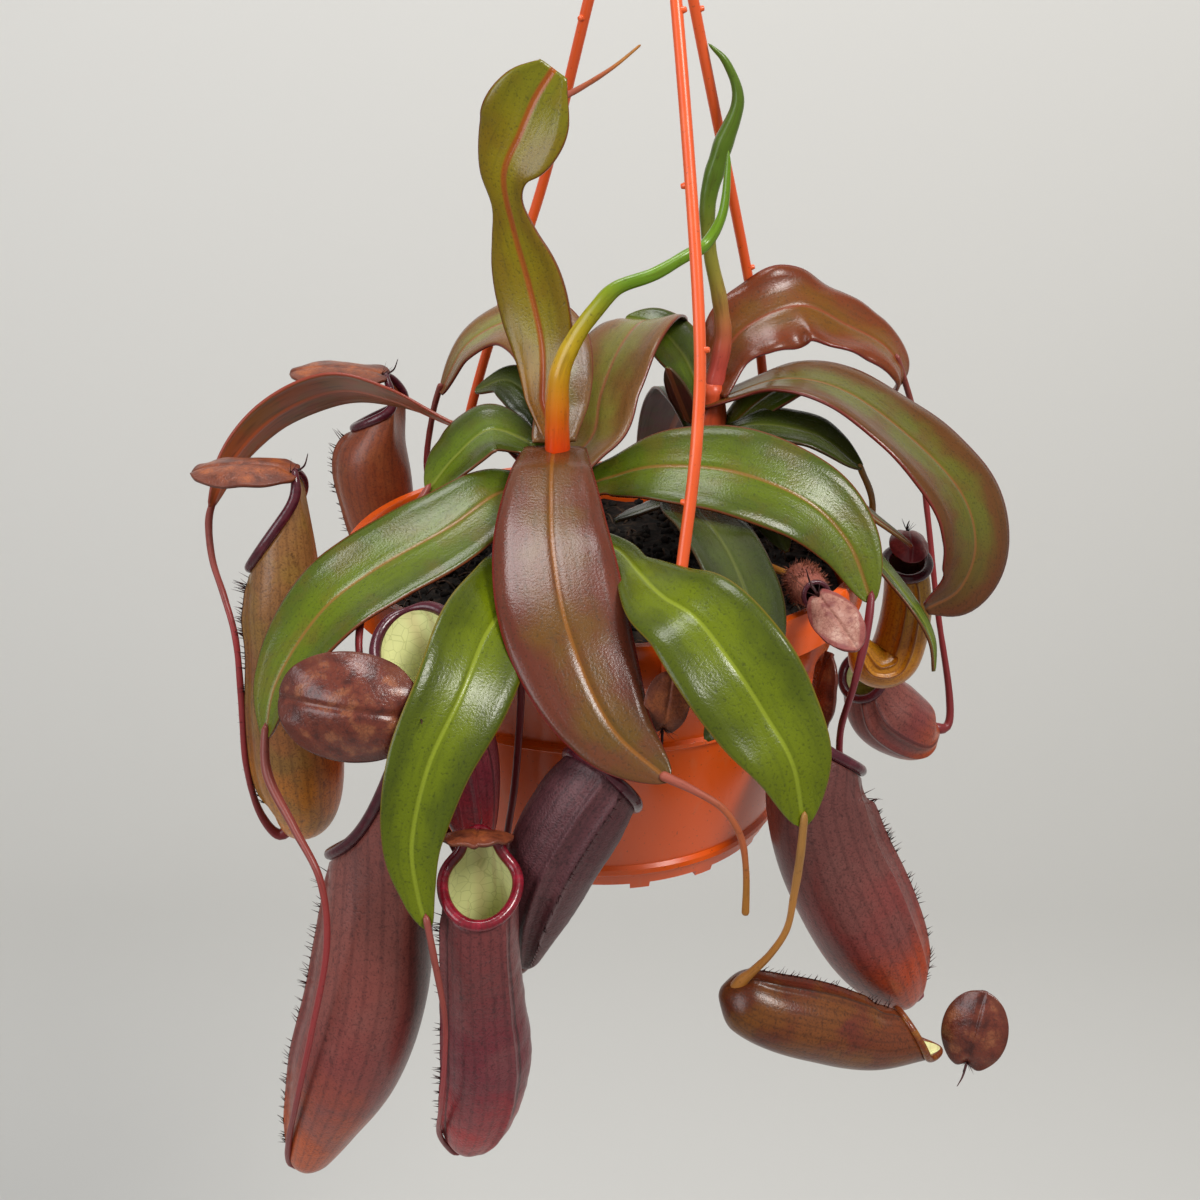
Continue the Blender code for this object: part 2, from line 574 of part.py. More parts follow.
def make_lid(name, lid, collection):
    """Makes an oval lid, domed towards its top, from a square grid drawn out to a disc."""
    top = Vector(lid.top).normalized()
    ahead = Vector(lid.ahead)
    ahead = (ahead - top * ahead.dot(top)).normalized()
    side = top.cross(ahead)
    centre = from_rim(lid.centre)
    bm = bmesh.new()
    bmesh.ops.create_grid(bm, x_segments=LID_CELLS, y_segments=LID_CELLS, size=1)
    for vert in bm.verts:
        u, v = vert.co.x, vert.co.y
        along, across = u * math.sqrt(1 - v * v / 2), v * math.sqrt(1 - u * u / 2)
        dome = 0.22 * lid.half_width * (1 - along ** 2 - across ** 2)
        vert.co = centre + (ahead * along * lid.half_length + side * across * lid.half_width
                            + top * dome) * MM
    made = add_mesh_object(name, bm, lid.finish, collection)
    solidify(made, LID_THICKNESS, -1)


def main():
    """Builds the whole plant."""
    empty_scene()
    plant = new_collection("hanging_pitcher_plant")
    cutters = new_collection("cutters")
    make_pot(plant, cutters)
    make_soil(plant)
    make_hanger(plant, cutters)
    for name, (radii, points) in STEMS.items():
        make_tube(name, points, radii, STEM, plant, 8, 3)
    for name, leaf in LEAVES.items():
        make_leaf(name, leaf, plant)
    for name, (finish, radii, points) in ROLLED_LEAVES.items():
        make_tube(name, points, radii, finish, plant, 20, 2)
    for name, (radius, points) in TENDRILS.items():
        make_tube(name, points, (radius,) * len(points), TENDRIL, plant, 14, 1)
    for name, pitcher in PITCHERS.items():
        make_pitcher(name, pitcher, plant)
    for name, lid in LIDS.items():
        make_lid(name, lid, plant)


main()
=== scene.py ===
"""Looks of the hanging pitcher plant: a plastic pot on a clip-on hanger, with two shoots.

Places are in millimetres from the centre of the pot's rim, with +X right, -Y to the front and
+Z up, as in the part's own source. from_rim() turns them into the frame's metres.
"""

from __future__ import annotations

import json
import logging
import math
import random
from dataclasses import dataclass
from enum import Enum
from typing import Callable, NamedTuple, TypeVar

import bmesh
import bpy
import numpy as np
from mathutils import Matrix, Vector, noise

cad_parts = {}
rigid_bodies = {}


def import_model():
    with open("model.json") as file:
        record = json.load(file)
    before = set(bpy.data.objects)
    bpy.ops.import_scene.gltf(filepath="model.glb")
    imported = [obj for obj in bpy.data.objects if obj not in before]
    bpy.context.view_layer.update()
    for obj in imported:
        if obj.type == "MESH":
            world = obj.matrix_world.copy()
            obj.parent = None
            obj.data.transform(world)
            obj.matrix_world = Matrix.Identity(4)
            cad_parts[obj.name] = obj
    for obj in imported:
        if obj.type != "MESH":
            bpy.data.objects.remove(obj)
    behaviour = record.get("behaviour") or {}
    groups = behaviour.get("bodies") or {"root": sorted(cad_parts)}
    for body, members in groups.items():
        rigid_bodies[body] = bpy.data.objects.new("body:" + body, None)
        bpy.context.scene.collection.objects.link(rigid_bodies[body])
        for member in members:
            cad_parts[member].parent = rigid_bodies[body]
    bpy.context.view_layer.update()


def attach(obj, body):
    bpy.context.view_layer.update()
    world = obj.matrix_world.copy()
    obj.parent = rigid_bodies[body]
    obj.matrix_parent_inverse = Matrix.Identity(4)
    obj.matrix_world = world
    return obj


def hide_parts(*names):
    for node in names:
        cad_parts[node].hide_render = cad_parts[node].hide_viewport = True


LOG = logging.getLogger("pitcher_plant")
MM = 0.001
# How near vertices are welded, in metres.
WELD = 1e-5
# The frame's origin, which is the hook's bearing point, from the rim's centre.
HOOK_OVER_RIM = Vector((10.0, 5.0, 235.0))
UP = Vector((0, 0, 1))
# UV maps: a corner's shares along and across its piece, and its place on it in decimetres.
SHARE = "share"
SIZE = "size"

Point = tuple[float, float, float]
Socket = bpy.types.NodeSocket
Tree = bpy.types.NodeTree
Mesh = bmesh.types.BMesh
Amount = TypeVar("Amount", float, Vector)


class Slot(Enum):
    """The record's material slots."""

    PLASTIC = "orange_plastic"
    PEAT = "peat"
    STEM = "stem"
    GREEN = "green_leaf"
    OLIVE = "olive_leaf"
    BROWN = "brown_leaf"
    NEW = "new_leaf"
    TENDRIL = "tendril"
    PURPLE = "purple_pitcher"
    TAN = "tan_pitcher"
    LID = "pitcher_lid"


# ---------------------------------------------------------------- shared tools


def from_rim(point: Point | Vector) -> Vector:
    """Turns a place given from the rim's centre, in millimetres, into the frame's metres."""
    return (Vector(point) - HOOK_OVER_RIM) * MM


def linear(hex_colour: str) -> tuple[float, float, float, float]:
    """Turns an sRGB hex colour into linear light.

    Args:
        hex_colour: six hex digits.

    Returns:
        Red, green, blue and an alpha of 1.
    """
    parts = [int(hex_colour[i:i + 2], 16) / 255 for i in (0, 2, 4)]
    light = [p / 12.92 if p <= 0.04045 else ((p + 0.055) / 1.055) ** 2.4 for p in parts]
    return (light[0], light[1], light[2], 1.0)


def per_mm(size: float) -> float:
    """Returns the scale that gives a pattern on Object coordinates a size in millimetres."""
    return 1 / (size * MM)


def smooth_between(low: float, high: float, value: float) -> float:
    """Returns 0 below low, 1 above high, and a smooth rise between them."""
    share = min(max((value - low) / (high - low), 0.0), 1.0)
    return share * share * (3 - 2 * share)


def catmull_rom(before: Amount, start: Amount, end: Amount, after: Amount, t: float) -> Amount:
    """Returns the number or place at t, 0 to 1, on the smooth stretch from start to end."""
    straight = 2 * start + (end - before) * t
    bend = (2 * before - 5 * start + 4 * end - after) * t ** 2
    return 0.5 * (straight + bend + (3 * start - before - 3 * end + after) * t ** 3)


def smooth_value(knots: np.ndarray, values: tuple[float, ...], t: float) -> float:
    """Returns the value at t on a smooth line through values that stand at knots."""
    i = min(max(int(np.searchsorted(knots, t, side="right")) - 1, 0), len(values) - 2)
    local = (t - knots[i]) / (knots[i + 1] - knots[i])
    line = [2 * values[0] - values[1], *values, 2 * values[-1] - values[-2]]
    return float(catmull_rom(*line[i:i + 4], local))


class Spine:
    """A smooth curve through points, with a sideways direction that never spins about it."""

    SAMPLES = 90

    def __init__(self, points: tuple[Point, ...]) -> None:
        """Runs a curve through points that are given in millimetres from the rim."""
        knots = [from_rim(point) for point in points]
        chords = [0.0] + [(b - a).length for a, b in zip(knots, knots[1:])]
        self.length = sum(chords) / MM
        self.knots = np.cumsum(chords) / sum(chords)
        line = [2 * knots[0] - knots[1]] + knots + [2 * knots[-1] - knots[-2]]
        self.places: list[Vector] = []
        for t in np.linspace(0, 1, self.SAMPLES + 1):
            i = min(int(np.searchsorted(self.knots, t, side="right")) - 1, len(knots) - 2)
            local = (t - self.knots[i]) / (self.knots[i + 1] - self.knots[i])
            self.places.append(catmull_rom(*line[i:i + 4], float(local)))
        last = self.SAMPLES
        self.tangents = [(self.places[min(i + 1, last)] - self.places[max(i - 1, 0)]).normalized()
                         for i in range(last + 1)]
        self.sides = self.find_sides()

    def find_sides(self) -> list[Vector]:
        """Carries one sideways direction along the curve."""
        side = self.tangents[0].cross(UP)
        if side.length < 0.2:
            side = Vector((1, 0, 0))
        sides = []
        for tangent in self.tangents:
            side = (side - tangent * side.dot(tangent)).normalized()
            sides.append(side)
        return sides

    def at(self, t: float) -> tuple[Vector, Vector, Vector, Vector]:
        """Returns the place, tangent, side and upward direction at t, 0 to 1."""
        scaled = min(max(t, 0.0), 1.0) * self.SAMPLES
        i = min(int(scaled), self.SAMPLES - 1)
        part = scaled - i
        place = self.places[i].lerp(self.places[i + 1], part)
        tangent = self.tangents[i].lerp(self.tangents[i + 1], part).normalized()
        side = self.sides[i].lerp(self.sides[i + 1], part).normalized()
        return place, tangent, side, side.cross(tangent)

    def value(self, values: tuple[float, ...], t: float) -> float:
        """Returns the value at t of values that are given one to each point."""
        return smooth_value(self.knots, values, t)


def grid(rows: int, columns: int, maps: dict[str, Callable]) -> Mesh:
    """Starts a flat grid whose UV maps keep each corner's place on it.

    Args:
        rows: faces along the piece.
        columns: faces across or round the piece.
        maps: for each UV map, what turns the two shares, 0 to 1, into its coordinates.

    Returns:
        The grid, from -1 to 1 in X (along) and Y (across).
    """
    bm = bmesh.new()
    bmesh.ops.create_grid(bm, x_segments=rows, y_segments=columns, size=1)
    for name, coordinates in maps.items():
        layer = bm.loops.layers.uv.new(name)
        for face in bm.faces:
            for loop in face.loops:
                loop[layer].uv = coordinates((loop.vert.co.x + 1) / 2, (loop.vert.co.y + 1) / 2)
    return bm


def bend(bm: Mesh, place: Callable[[float, float], Vector]) -> None:
    """Moves each vertex of a flat grid to the place that its two shares, 0 to 1, give."""
    for vert in bm.verts:
        vert.co = place((vert.co.x + 1) / 2, (vert.co.y + 1) / 2)


def close_seams(bm: Mesh) -> None:
    """Welds a wrapped grid's seam and poles and points its faces outwards."""
    bmesh.ops.remove_doubles(bm, verts=bm.verts, dist=WELD)
    bmesh.ops.dissolve_degenerate(bm, edges=bm.edges, dist=WELD / 10)
    bmesh.ops.recalc_face_normals(bm, faces=bm.faces)


def turned(profile: list[tuple[float, float]], steps: int) -> Mesh:
    """Turns a line of radii and heights, in millimetres, about the pot's axis."""
    bm = bmesh.new()
    line = [bm.verts.new(from_rim((radius, 0, height))) for radius, height in profile]
    edges = [bm.edges.new(pair) for pair in zip(line, line[1:])]
    bmesh.ops.spin(bm, geom=line + edges, cent=from_rim((0, 0, 0)), axis=UP, dvec=(0, 0, 0),
                   angle=math.tau, steps=steps, use_merge=True, use_normal_flip=False,
                   use_duplicate=False)
    close_seams(bm)
    return bm


def soften(bm: Mesh, geom: list, width: float, segments: int = 2, clamp: bool = False) -> None:
    """Rounds edges of a mesh by a width in millimetres."""
    bmesh.ops.bevel(bm, geom=geom, offset=width * MM, segments=segments, affect="EDGES",
                    profile=0.5, material=-1, clamp_overlap=clamp)


def edges_of(made: dict[str, list]) -> list[bmesh.types.BMEdge]:
    """Returns the edges of a shape that a bmesh operator has just made."""
    return list({edge for vert in made["verts"] for edge in vert.link_edges})


def new_object(name: str, bm: Mesh) -> bpy.types.Object:
    """Turns a bmesh, which is freed, into an object of the scene."""
    mesh = bpy.data.meshes.new(name)
    bm.to_mesh(mesh)
    bm.free()
    made = bpy.data.objects.new(name, mesh)
    bpy.context.scene.collection.objects.link(made)
    return made


def add_piece(name: str, bm: Mesh, finishes: list[Finish], slot: Slot,
              replaced: tuple[str, ...] = ()) -> bpy.types.Object:
    """Turns a bmesh into a piece that rides on the part's one body.

    Args:
        name: the piece's name.
        bm: its mesh in the frame's metres, which is freed.
        finishes: its finishes, in the order of its faces' material numbers.
        slot: the record's slot for its finish; not used.
        replaced: the CAD nodes that it stands for.

    Returns:
        The new object.
    """
    made = new_object(name, bm)
    mesh = made.data
    mesh.shade_smooth()
    for finish in finishes:
        mesh.materials.append(finish.material())
    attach(made, "root")
    if replaced:
        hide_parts(*replaced)
    LOG.info("%s: %d faces", name, len(mesh.polygons))
    return made


def round_edges(made: bpy.types.Object, width: float) -> None:
    """Rounds a hard-edged piece's edges by a width in millimetres."""
    bevel = made.modifiers.new("rounded", "BEVEL")
    bevel.width = width * MM
    bevel.segments = 2
    bevel.limit_method = "ANGLE"
    bevel.angle_limit = math.radians(32)
    bevel.harden_normals = True


def thicken(made: bpy.types.Object, thickness: float) -> None:
    """Gives a sheet a thickness in millimetres, with its second finish on the lower side."""
    shell = made.modifiers.new("thickness", "SOLIDIFY")
    shell.thickness = thickness * MM
    shell.offset = -1
    shell.material_offset = 1


def apply_modifiers(made: bpy.types.Object) -> None:
    """Puts the modifiers' result into an object's own mesh."""
    evaluated = made.evaluated_get(bpy.context.evaluated_depsgraph_get())
    mesh = bpy.data.meshes.new_from_object(evaluated)
    made.modifiers.clear()
    made.data = mesh


def cap(t: float, reach: float) -> float:
    """Returns the share of its radius that a tube with round ends has at t."""
    inwards = min(t, 1 - t) / max(reach, 1e-6)
    return math.sqrt(max(0.0, 1 - (1 - min(inwards, 1.0)) ** 2))


def tube(points: tuple[Point, ...], radii: tuple[float, ...], rows: int, sides: int,
         lumps: float = 0.0) -> Mesh:
    """Wraps a grid round a spine as a round-ended tube.

    Args:
        points: the spine's points, millimetres.
        radii: the radius at each point, or one radius for all of them.
        rows: faces along it.
        sides: faces round it.
        lumps: how uneven its radius is, as a share.

    Returns:
        The closed tube.
    """
    spine = Spine(points)
    radii = radii if len(radii) > 1 else radii * len(points)
    reach = max(radii) / spine.length

    def place(along: float, around: float) -> Vector:
        """Returns where a vertex of the tube goes."""
        spot, _, side, up = spine.at(along)
        angle = math.tau * around
        out = side * math.cos(angle) + up * math.sin(angle)
        radius = spine.value(radii, along) * cap(along, reach)
        folds = math.cos(3 * angle + 9 * along) / 2
        uneven = 1 + lumps * (noise.noise(spot * per_mm(5)) + folds)
        return spot + out * radius * uneven * MM

    bm = grid(rows, sides, {SHARE: lambda u, v: (u, v)})
    bend(bm, place)
    close_seams(bm)
    return bm


def merge(into: Mesh, other: Mesh) -> None:
    """Adds another bmesh's shells to a bmesh and frees the other."""
    mesh = bpy.data.meshes.new("passing")
    other.to_mesh(mesh)
    other.free()
    into.from_mesh(mesh)
    bpy.data.meshes.remove(mesh)


def set_finish(bm: Mesh, number: int, start: int = 0) -> int:
    """Gives the faces from start on a material number, and returns how many faces there are."""
    bm.faces.ensure_lookup_table()
    for face in bm.faces[start:]:
        face.material_index = number
    return len(bm.faces)


def add_hair(bm: Mesh, root: Vector, way: Vector, length: float,
             radius: float) -> None:
    """Adds a tapered hair of a length and a radius in millimetres."""
    turn = way.to_track_quat("Z", "Y").to_matrix().to_4x4()
    middle = root + way.normalized() * length / 2 * MM
    bmesh.ops.create_cone(bm, cap_ends=True, segments=4, radius1=radius * MM,
                          radius2=radius * 0.15 * MM, depth=length * MM,
                          matrix=Matrix.Translation(middle) @ turn)


# ---------------------------------------------------------------- finishes


def add_node(tree: Tree, kind: str, inputs: dict | None = None, out: int | str = 0,
             **settings) -> Socket:
    """Adds a shader node.

    Args:
        tree: the material's nodes.
        kind: the node's type, without its ShaderNode prefix.
        inputs: for a socket's name or number, its value or the socket that feeds it.
        out: which output to return.
        **settings: the node's own settings.

    Returns:
        The chosen output.
    """
    made = tree.nodes.new("ShaderNode" + kind)
    for name, value in settings.items():
        setattr(made, name, value)
    for key, value in (inputs or {}).items():
        if isinstance(value, Socket):
            tree.links.new(value, made.inputs[key])
        else:
            made.inputs[key].default_value = value
    return made.outputs[out]


def calc(tree: Tree, operation: str, *values: Socket | float) -> Socket:
    """Adds a math node that works on values in their order."""
    return add_node(tree, "Math", dict(enumerate(values)), operation=operation)


class Coat(NamedTuple):
    """A colour that comes in where a value goes from one bound to the other."""

    colour: str
    value: Socket
    none: float
    full: float
    share: float = 1.0


def lay_coats(tree: Tree, ground: str, coats: tuple[Coat, ...]) -> Socket:
    """Lays colours one over another.

    Args:
        tree: the material's nodes.
        ground: the lowest colour, as sRGB hex.
        coats: the colours over it, from the lowest up.

    Returns:
        The resulting colour.
    """
    result: Socket | tuple = linear(ground)
    for coat in coats:
        mask = add_node(tree, "MapRange", {"Value": coat.value, "From Min": coat.none,
                                           "From Max": coat.full, "To Max": coat.share},
                        interpolation_type="SMOOTHSTEP")
        result = add_node(tree, "Mix", {0: mask, 6: result, 7: linear(coat.colour)}, out=2,
                          data_type="RGBA")
    return result


def shares(tree: Tree) -> tuple[Socket, Socket, Socket]:
    """Returns how far along the piece a point is, its place across or round it, and its
    distance from the middle of that, 0 to 1."""
    split = add_node(tree, "SeparateXYZ", {0: add_node(tree, "UVMap", uv_map=SHARE)})
    across = split.node.outputs[1]
    return split, across, calc(tree, "ABSOLUTE", calc(tree, "MULTIPLY_ADD", across, 2.0, -1.0))


def blade_place(tree: Tree) -> tuple[Socket, Socket]:
    """Returns a point's place on its blade and its distance from the midrib, in decimetres."""
    size = add_node(tree, "UVMap", uv_map=SIZE)
    off_midrib = add_node(tree, "SeparateXYZ", {0: size}, out=1)
    return size, calc(tree, "ABSOLUTE", off_midrib)


def streaks(tree: Tree, place: Socket, stretch: Point, scale: float, detail: float = 3) -> Socket:
    """Returns noise on a place that is stretched first, so that its lumps are drawn out."""
    drawn = add_node(tree, "Mapping", {0: place, "Scale": stretch})
    return add_node(tree, "TexNoise", {"Vector": drawn, "Scale": scale, "Detail": detail})


def cell_edges(tree: Tree, size: float, place: Socket | None = None) -> Socket:
    """Returns the distance from the edges of cells of a size in millimetres."""
    if place is None:
        place = add_node(tree, "TexCoord", out="Object")
    return add_node(tree, "TexVoronoi", {"Vector": place, "Scale": per_mm(size)},
                    feature="DISTANCE_TO_EDGE")


def grain(tree: Tree, size: float, detail: float = 3.0, stretch: Point = (1, 1, 1)) -> Socket:
    """Returns noise with lumps of a size in millimetres on Object coordinates."""
    place = add_node(tree, "TexCoord", out="Object")
    scaled = add_node(tree, "Mapping", {0: place, "Scale": stretch})
    return add_node(tree, "TexNoise", {"Vector": scaled, "Scale": per_mm(size), "Detail": detail})


@dataclass(frozen=True)
class Finish:
    """A surface: its name, its roughness, its clear coat, the depth of its relief in
    millimetres, its index of refraction and what its pattern adds."""

    name: str
    roughness: float = 0.28
    coat: float = 0.0
    relief: float = 0.06
    ior: float = 1.35

    def material(self) -> bpy.types.Material:
        """Returns the finish's material, made on first use."""
        made = bpy.data.materials.get(self.name)
        if made is None:
            made = bpy.data.materials.new(self.name)
            made.use_nodes = True
            tree = made.node_tree
            surface = tree.nodes["Principled BSDF"]
            surface.inputs["IOR"].default_value = self.ior
            surface.inputs["Coat Weight"].default_value = self.coat
            surface.inputs["Coat Roughness"].default_value = 0.22
            colour, height = self.pattern(tree)
            tree.links.new(colour, surface.inputs["Base Color"])
            shine = add_node(tree, "MapRange", {"Value": height, "To Min": self.roughness * 1.2,
                                                "To Max": self.roughness * 0.85})
            tree.links.new(shine, surface.inputs["Roughness"])
            bump = add_node(tree, "Bump", {"Height": height, "Distance": self.relief * MM})
            tree.links.new(bump, surface.inputs["Normal"])
        return made

    def pattern(self, tree: Tree) -> tuple[Socket, Socket]:
        """Builds the colour and the height of the surface."""
        raise NotImplementedError


@dataclass(frozen=True)
class BladeTop(Finish):
    """Living leaf, upper side: waxy cuticle over long veins, with a midrib and a fine margin
    in their own colours, and a flush over part of it. rib widens the midrib's line."""

    edge: str = "47701E"
    centre: str = "5C8026"
    base: str = "4A6E22"
    tip: str = "5C8026"
    midrib: str = "9CAE36"
    margin: str = "8A4A3A"
    blush: str = "6A4430"
    blush_share: float = 0.25
    rib: float = 1.0

    def pattern(self, tree: Tree) -> tuple[Socket, Socket]:
        """Builds the blade's colours from its middle to its margin, and its veins."""
        along, _, off_middle = shares(tree)
        size, off_midrib = blade_place(tree)
        # Long veins about 1 mm apart and drawn out along the blade.
        veins = streaks(tree, size, (0.1, 1.0, 1.0), 90)
        blotches = grain(tree, 9)
        pores = grain(tree, 0.6, 2)
        drifting = calc(tree, "MULTIPLY_ADD", blotches, 0.8, off_middle)
        ribs = calc(tree, "SINE", calc(tree, "MULTIPLY", off_middle, 18.0))
        colour = lay_coats(tree, self.centre, (
            Coat(self.edge, drifting, 0.62, 1.15),
            Coat(self.base, along, 0.30, 0.0, 0.8),
            Coat(self.tip, along, 0.72, 0.98, 0.8),
            Coat(self.blush, blotches, 0.42, 0.68, self.blush_share),
            Coat("1C240C", veins, 0.52, 0.24, 0.22),
            Coat("0E1208", pores, 0.46, 0.27, 0.42),
            Coat(self.margin, off_middle, 0.955, 0.99, 0.8),
            Coat(self.midrib, off_midrib, 0.0068 * self.rib, 0.0022 * self.rib, 0.6)))
        fine = calc(tree, "MULTIPLY_ADD", veins, 0.6, pores)
        return colour, calc(tree, "MULTIPLY_ADD", ribs, 0.12, fine)


@dataclass(frozen=True)
class BladeUnder(Finish):
    """Living leaf, lower side: duller than the top, reddened, with a raised midrib."""

    ground: str = "6E3A2C"
    flush: str = "4C5A24"
    flush_share: float = 0.4
    midrib: str = "A8603A"

    def pattern(self, tree: Tree) -> tuple[Socket, Socket]:
        """Builds the mottled underside and its midrib."""
        size, off_midrib = blade_place(tree)
        veins = streaks(tree, size, (0.12, 1.0, 1.0), 80, 4)
        blotches = grain(tree, 7)
        colour = lay_coats(tree, self.ground, (
            Coat(self.flush, blotches, 0.42, 0.62, self.flush_share),
            Coat("2A1412", veins, 0.52, 0.28, 0.45),
            Coat(self.midrib, off_midrib, 0.012, 0.005, 0.8)))
        return colour, veins


@dataclass(frozen=True)
class Shoot(Finish):
    """Young stem, tendril or rolled leaf: smooth skin whose colour runs along it."""

    start: str = "C8502A"
    middle: str = "A8402E"
    end: str = "8C3A34"
    turns: tuple[float, float] = (0.3, 0.7)

    def pattern(self, tree: Tree) -> tuple[Socket, Socket]:
        """Builds the colours along the shoot, with fine long streaks."""
        along, around, _ = shares(tree)
        joined = add_node(tree, "CombineXYZ", {0: along, 1: around})
        lines = streaks(tree, joined, (6.0, 9.0, 1.0), 1.5, 4)
        specks = grain(tree, 1.1)
        first, second = self.turns
        colour = lay_coats(tree, self.start, (
            Coat(self.middle, along, first - 0.15, first + 0.15),
            Coat(self.end, along, second - 0.15, second + 0.15),
            Coat("3A1A10", lines, 0.48, 0.26, 0.35),
            Coat("2A120C", specks, 0.40, 0.25, 0.4)))
        return colour, lines


@dataclass(frozen=True)
class Skin(Finish):
    """Living pitcher wall, outside: leathery skin with a net of veins, dark flecks and two dark
    wing lines. net is the size of the net's cells in millimetres and wing_at the lines' place,
    from 0 at the front to 1 at the back."""

    top: str = "4E2C32"
    middle: str = "5A3038"
    bottom: str = "8A4030"
    fleck: str = "24121A"
    bloom: str = "7A5A58"
    bloom_share: float = 0.35
    net: float = 3.2
    wing_at: float = 0.2

    def pattern(self, tree: Tree) -> tuple[Socket, Socket]:
        """Builds the colours from the mouth to the bottom, and the net of veins."""
        along, around, off_front = shares(tree)
        place = add_node(tree, "TexCoord", out="Object")
        shaken = add_node(tree, "TexNoise", {"Vector": place, "Scale": per_mm(4)}, out=1)
        mixed = add_node(tree, "Mix", {0: 0.006, 4: place, 5: shaken}, out=1, data_type="VECTOR")
        net = cell_edges(tree, self.net, mixed)
        flecks = grain(tree, 1.3, 3, (1, 1, 0.45))
        clouds = grain(tree, 11)
        rough = grain(tree, 0.55, 2)
        wing = calc(tree, "ABSOLUTE", calc(tree, "SUBTRACT", off_front, self.wing_at))
        drift = calc(tree, "MULTIPLY_ADD", clouds, 0.35, along)
        long_veins = calc(tree, "SINE", calc(tree, "MULTIPLY", around, 150.0))
        colour = lay_coats(tree, self.top, (
            Coat(self.middle, drift, 0.95, 0.62),
            Coat(self.bottom, drift, 0.62, 0.27),
            Coat(self.bloom, clouds, 0.44, 0.66, self.bloom_share),
            Coat(self.fleck, net, 0.09, 0.0, 0.16),
            Coat(self.fleck, long_veins, 0.4, 1.0, 0.24),
            Coat(self.fleck, flecks, 0.42, 0.27, 0.45),
            Coat(self.fleck, rough, 0.50, 0.30, 0.5),
            Coat(self.fleck, wing, 0.016, 0.007, 0.7)))
        edges = add_node(tree, "MapRange", {"Value": net, "From Max": 0.12})
        return colour, calc(tree, "MULTIPLY_ADD", edges, 0.15, rough)


@dataclass(frozen=True)
class Throat(Finish):
    """Living pitcher wall, inside: pale waxy zone with faint pink streaks."""

    ground: str = "BCC070"
    streak: str = "B06A5A"
    streak_share: float = 0.5

    def pattern(self, tree: Tree) -> tuple[Socket, Socket]:
        """Builds the pale wall, its long streaks and its deeper, darker end."""
        along, around, off_front = shares(tree)
        joined = add_node(tree, "CombineXYZ", {0: along, 1: around})
        lines = streaks(tree, joined, (3.0, 22.0, 1.0), 1.0)
        net = cell_edges(tree, 2.6)
        colour = lay_coats(tree, self.ground, (
            Coat(self.streak, lines, 0.52, 0.70, self.streak_share),
            Coat(self.streak, off_front, 0.90, 1.0, self.streak_share),
            Coat("6E7A30", net, 0.05, 0.0, 0.3),
            Coat("6A4A2A", along, 0.55, 0.1, 0.7)))
        return colour, net


@dataclass(frozen=True)
class Lip(Finish):
    """Pitcher rim: hard, wet-looking and finely ribbed across."""

    ground: str = "641522"
    bright: str = "98303C"
    ribs: int = 46

    def pattern(self, tree: Tree) -> tuple[Socket, Socket]:
        """Builds the ribs that run over the rim."""
        _, around, _ = shares(tree)
        wave = calc(tree, "SINE", calc(tree, "MULTIPLY", around, math.tau * self.ribs))
        clouds = grain(tree, 3)
        ribs = add_node(tree, "MapRange", {"Value": wave, "From Min": -1.0})
        colour = lay_coats(tree, self.ground, (
            Coat(self.bright, clouds, 0.45, 0.70, 0.7),
            Coat("2A0A10", ribs, 0.5, 0.0, 0.2)))
        return colour, ribs


@dataclass(frozen=True)
class LidSkin(Finish):
    """Pitcher lid: thick leathery skin, mottled, with veins and a grainy face."""

    ground: str = "7A4232"
    mottle: str = "3A1C18"
    bright: str = "B4714A"
    margin: str = "5A2420"

    def pattern(self, tree: Tree) -> tuple[Socket, Socket]:
        """Builds the mottled skin and its grain."""
        along, across, _ = shares(tree)
        centred = {i: calc(tree, "MULTIPLY_ADD", part, 2.0, -1.0)
                   for i, part in enumerate((along, across))}
        radius = add_node(tree, "VectorMath", {0: add_node(tree, "CombineXYZ", centred)},
                          out="Value", operation="LENGTH")
        net = cell_edges(tree, 1.6)
        blotches = grain(tree, 4.5, 5)
        rough = grain(tree, 0.7, 3)
        colour = lay_coats(tree, self.ground, (
            Coat(self.bright, blotches, 0.50, 0.66, 0.8),
            Coat(self.mottle, blotches, 0.49, 0.34, 0.85),
            Coat(self.mottle, net, 0.07, 0.0, 0.4),
            Coat(self.mottle, rough, 0.44, 0.28, 0.6),
            Coat(self.margin, radius, 0.86, 1.0, 0.7)))
        return colour, calc(tree, "MULTIPLY_ADD", net, 0.6, rough)


@dataclass(frozen=True)
class Plastic(Finish):
    """Polypropylene, injection moulded: glossy, slightly wavy, with dust and fine scuffs."""

    ground: str = "DC540C"
    worn: str = "CE6A3A"
    dust: str = "6A2E16"

    def pattern(self, tree: Tree) -> tuple[Socket, Socket]:
        """Builds the even colour, its dust specks and the moulding's slow waves."""
        waves = grain(tree, 24, 2, (1, 1, 0.5))
        scuffs = grain(tree, 3.5, 5, (1, 1, 0.2))
        specks = grain(tree, 0.9, 2)
        colour = lay_coats(tree, self.ground, (
            Coat(self.worn, scuffs, 0.54, 0.74, 0.35),
            Coat(self.dust, waves, 0.48, 0.25, 0.25),
            Coat(self.dust, specks, 0.34, 0.25, 0.6)))
        return colour, calc(tree, "MULTIPLY_ADD", scuffs, 0.08, waves)


@dataclass(frozen=True)
class Peat(Finish):
    """Damp peat: near-black crumbs with brown fibre ends."""

    ground: str = "17120D"
    crumb: str = "33261A"

    def pattern(self, tree: Tree) -> tuple[Socket, Socket]:
        """Builds the crumbs."""
        crumbs = grain(tree, 2.2, 6)
        colour = lay_coats(tree, self.ground, (
            Coat(self.crumb, crumbs, 0.50, 0.68, 0.9),
            Coat("060504", crumbs, 0.46, 0.34, 0.9)))
        return colour, crumbs


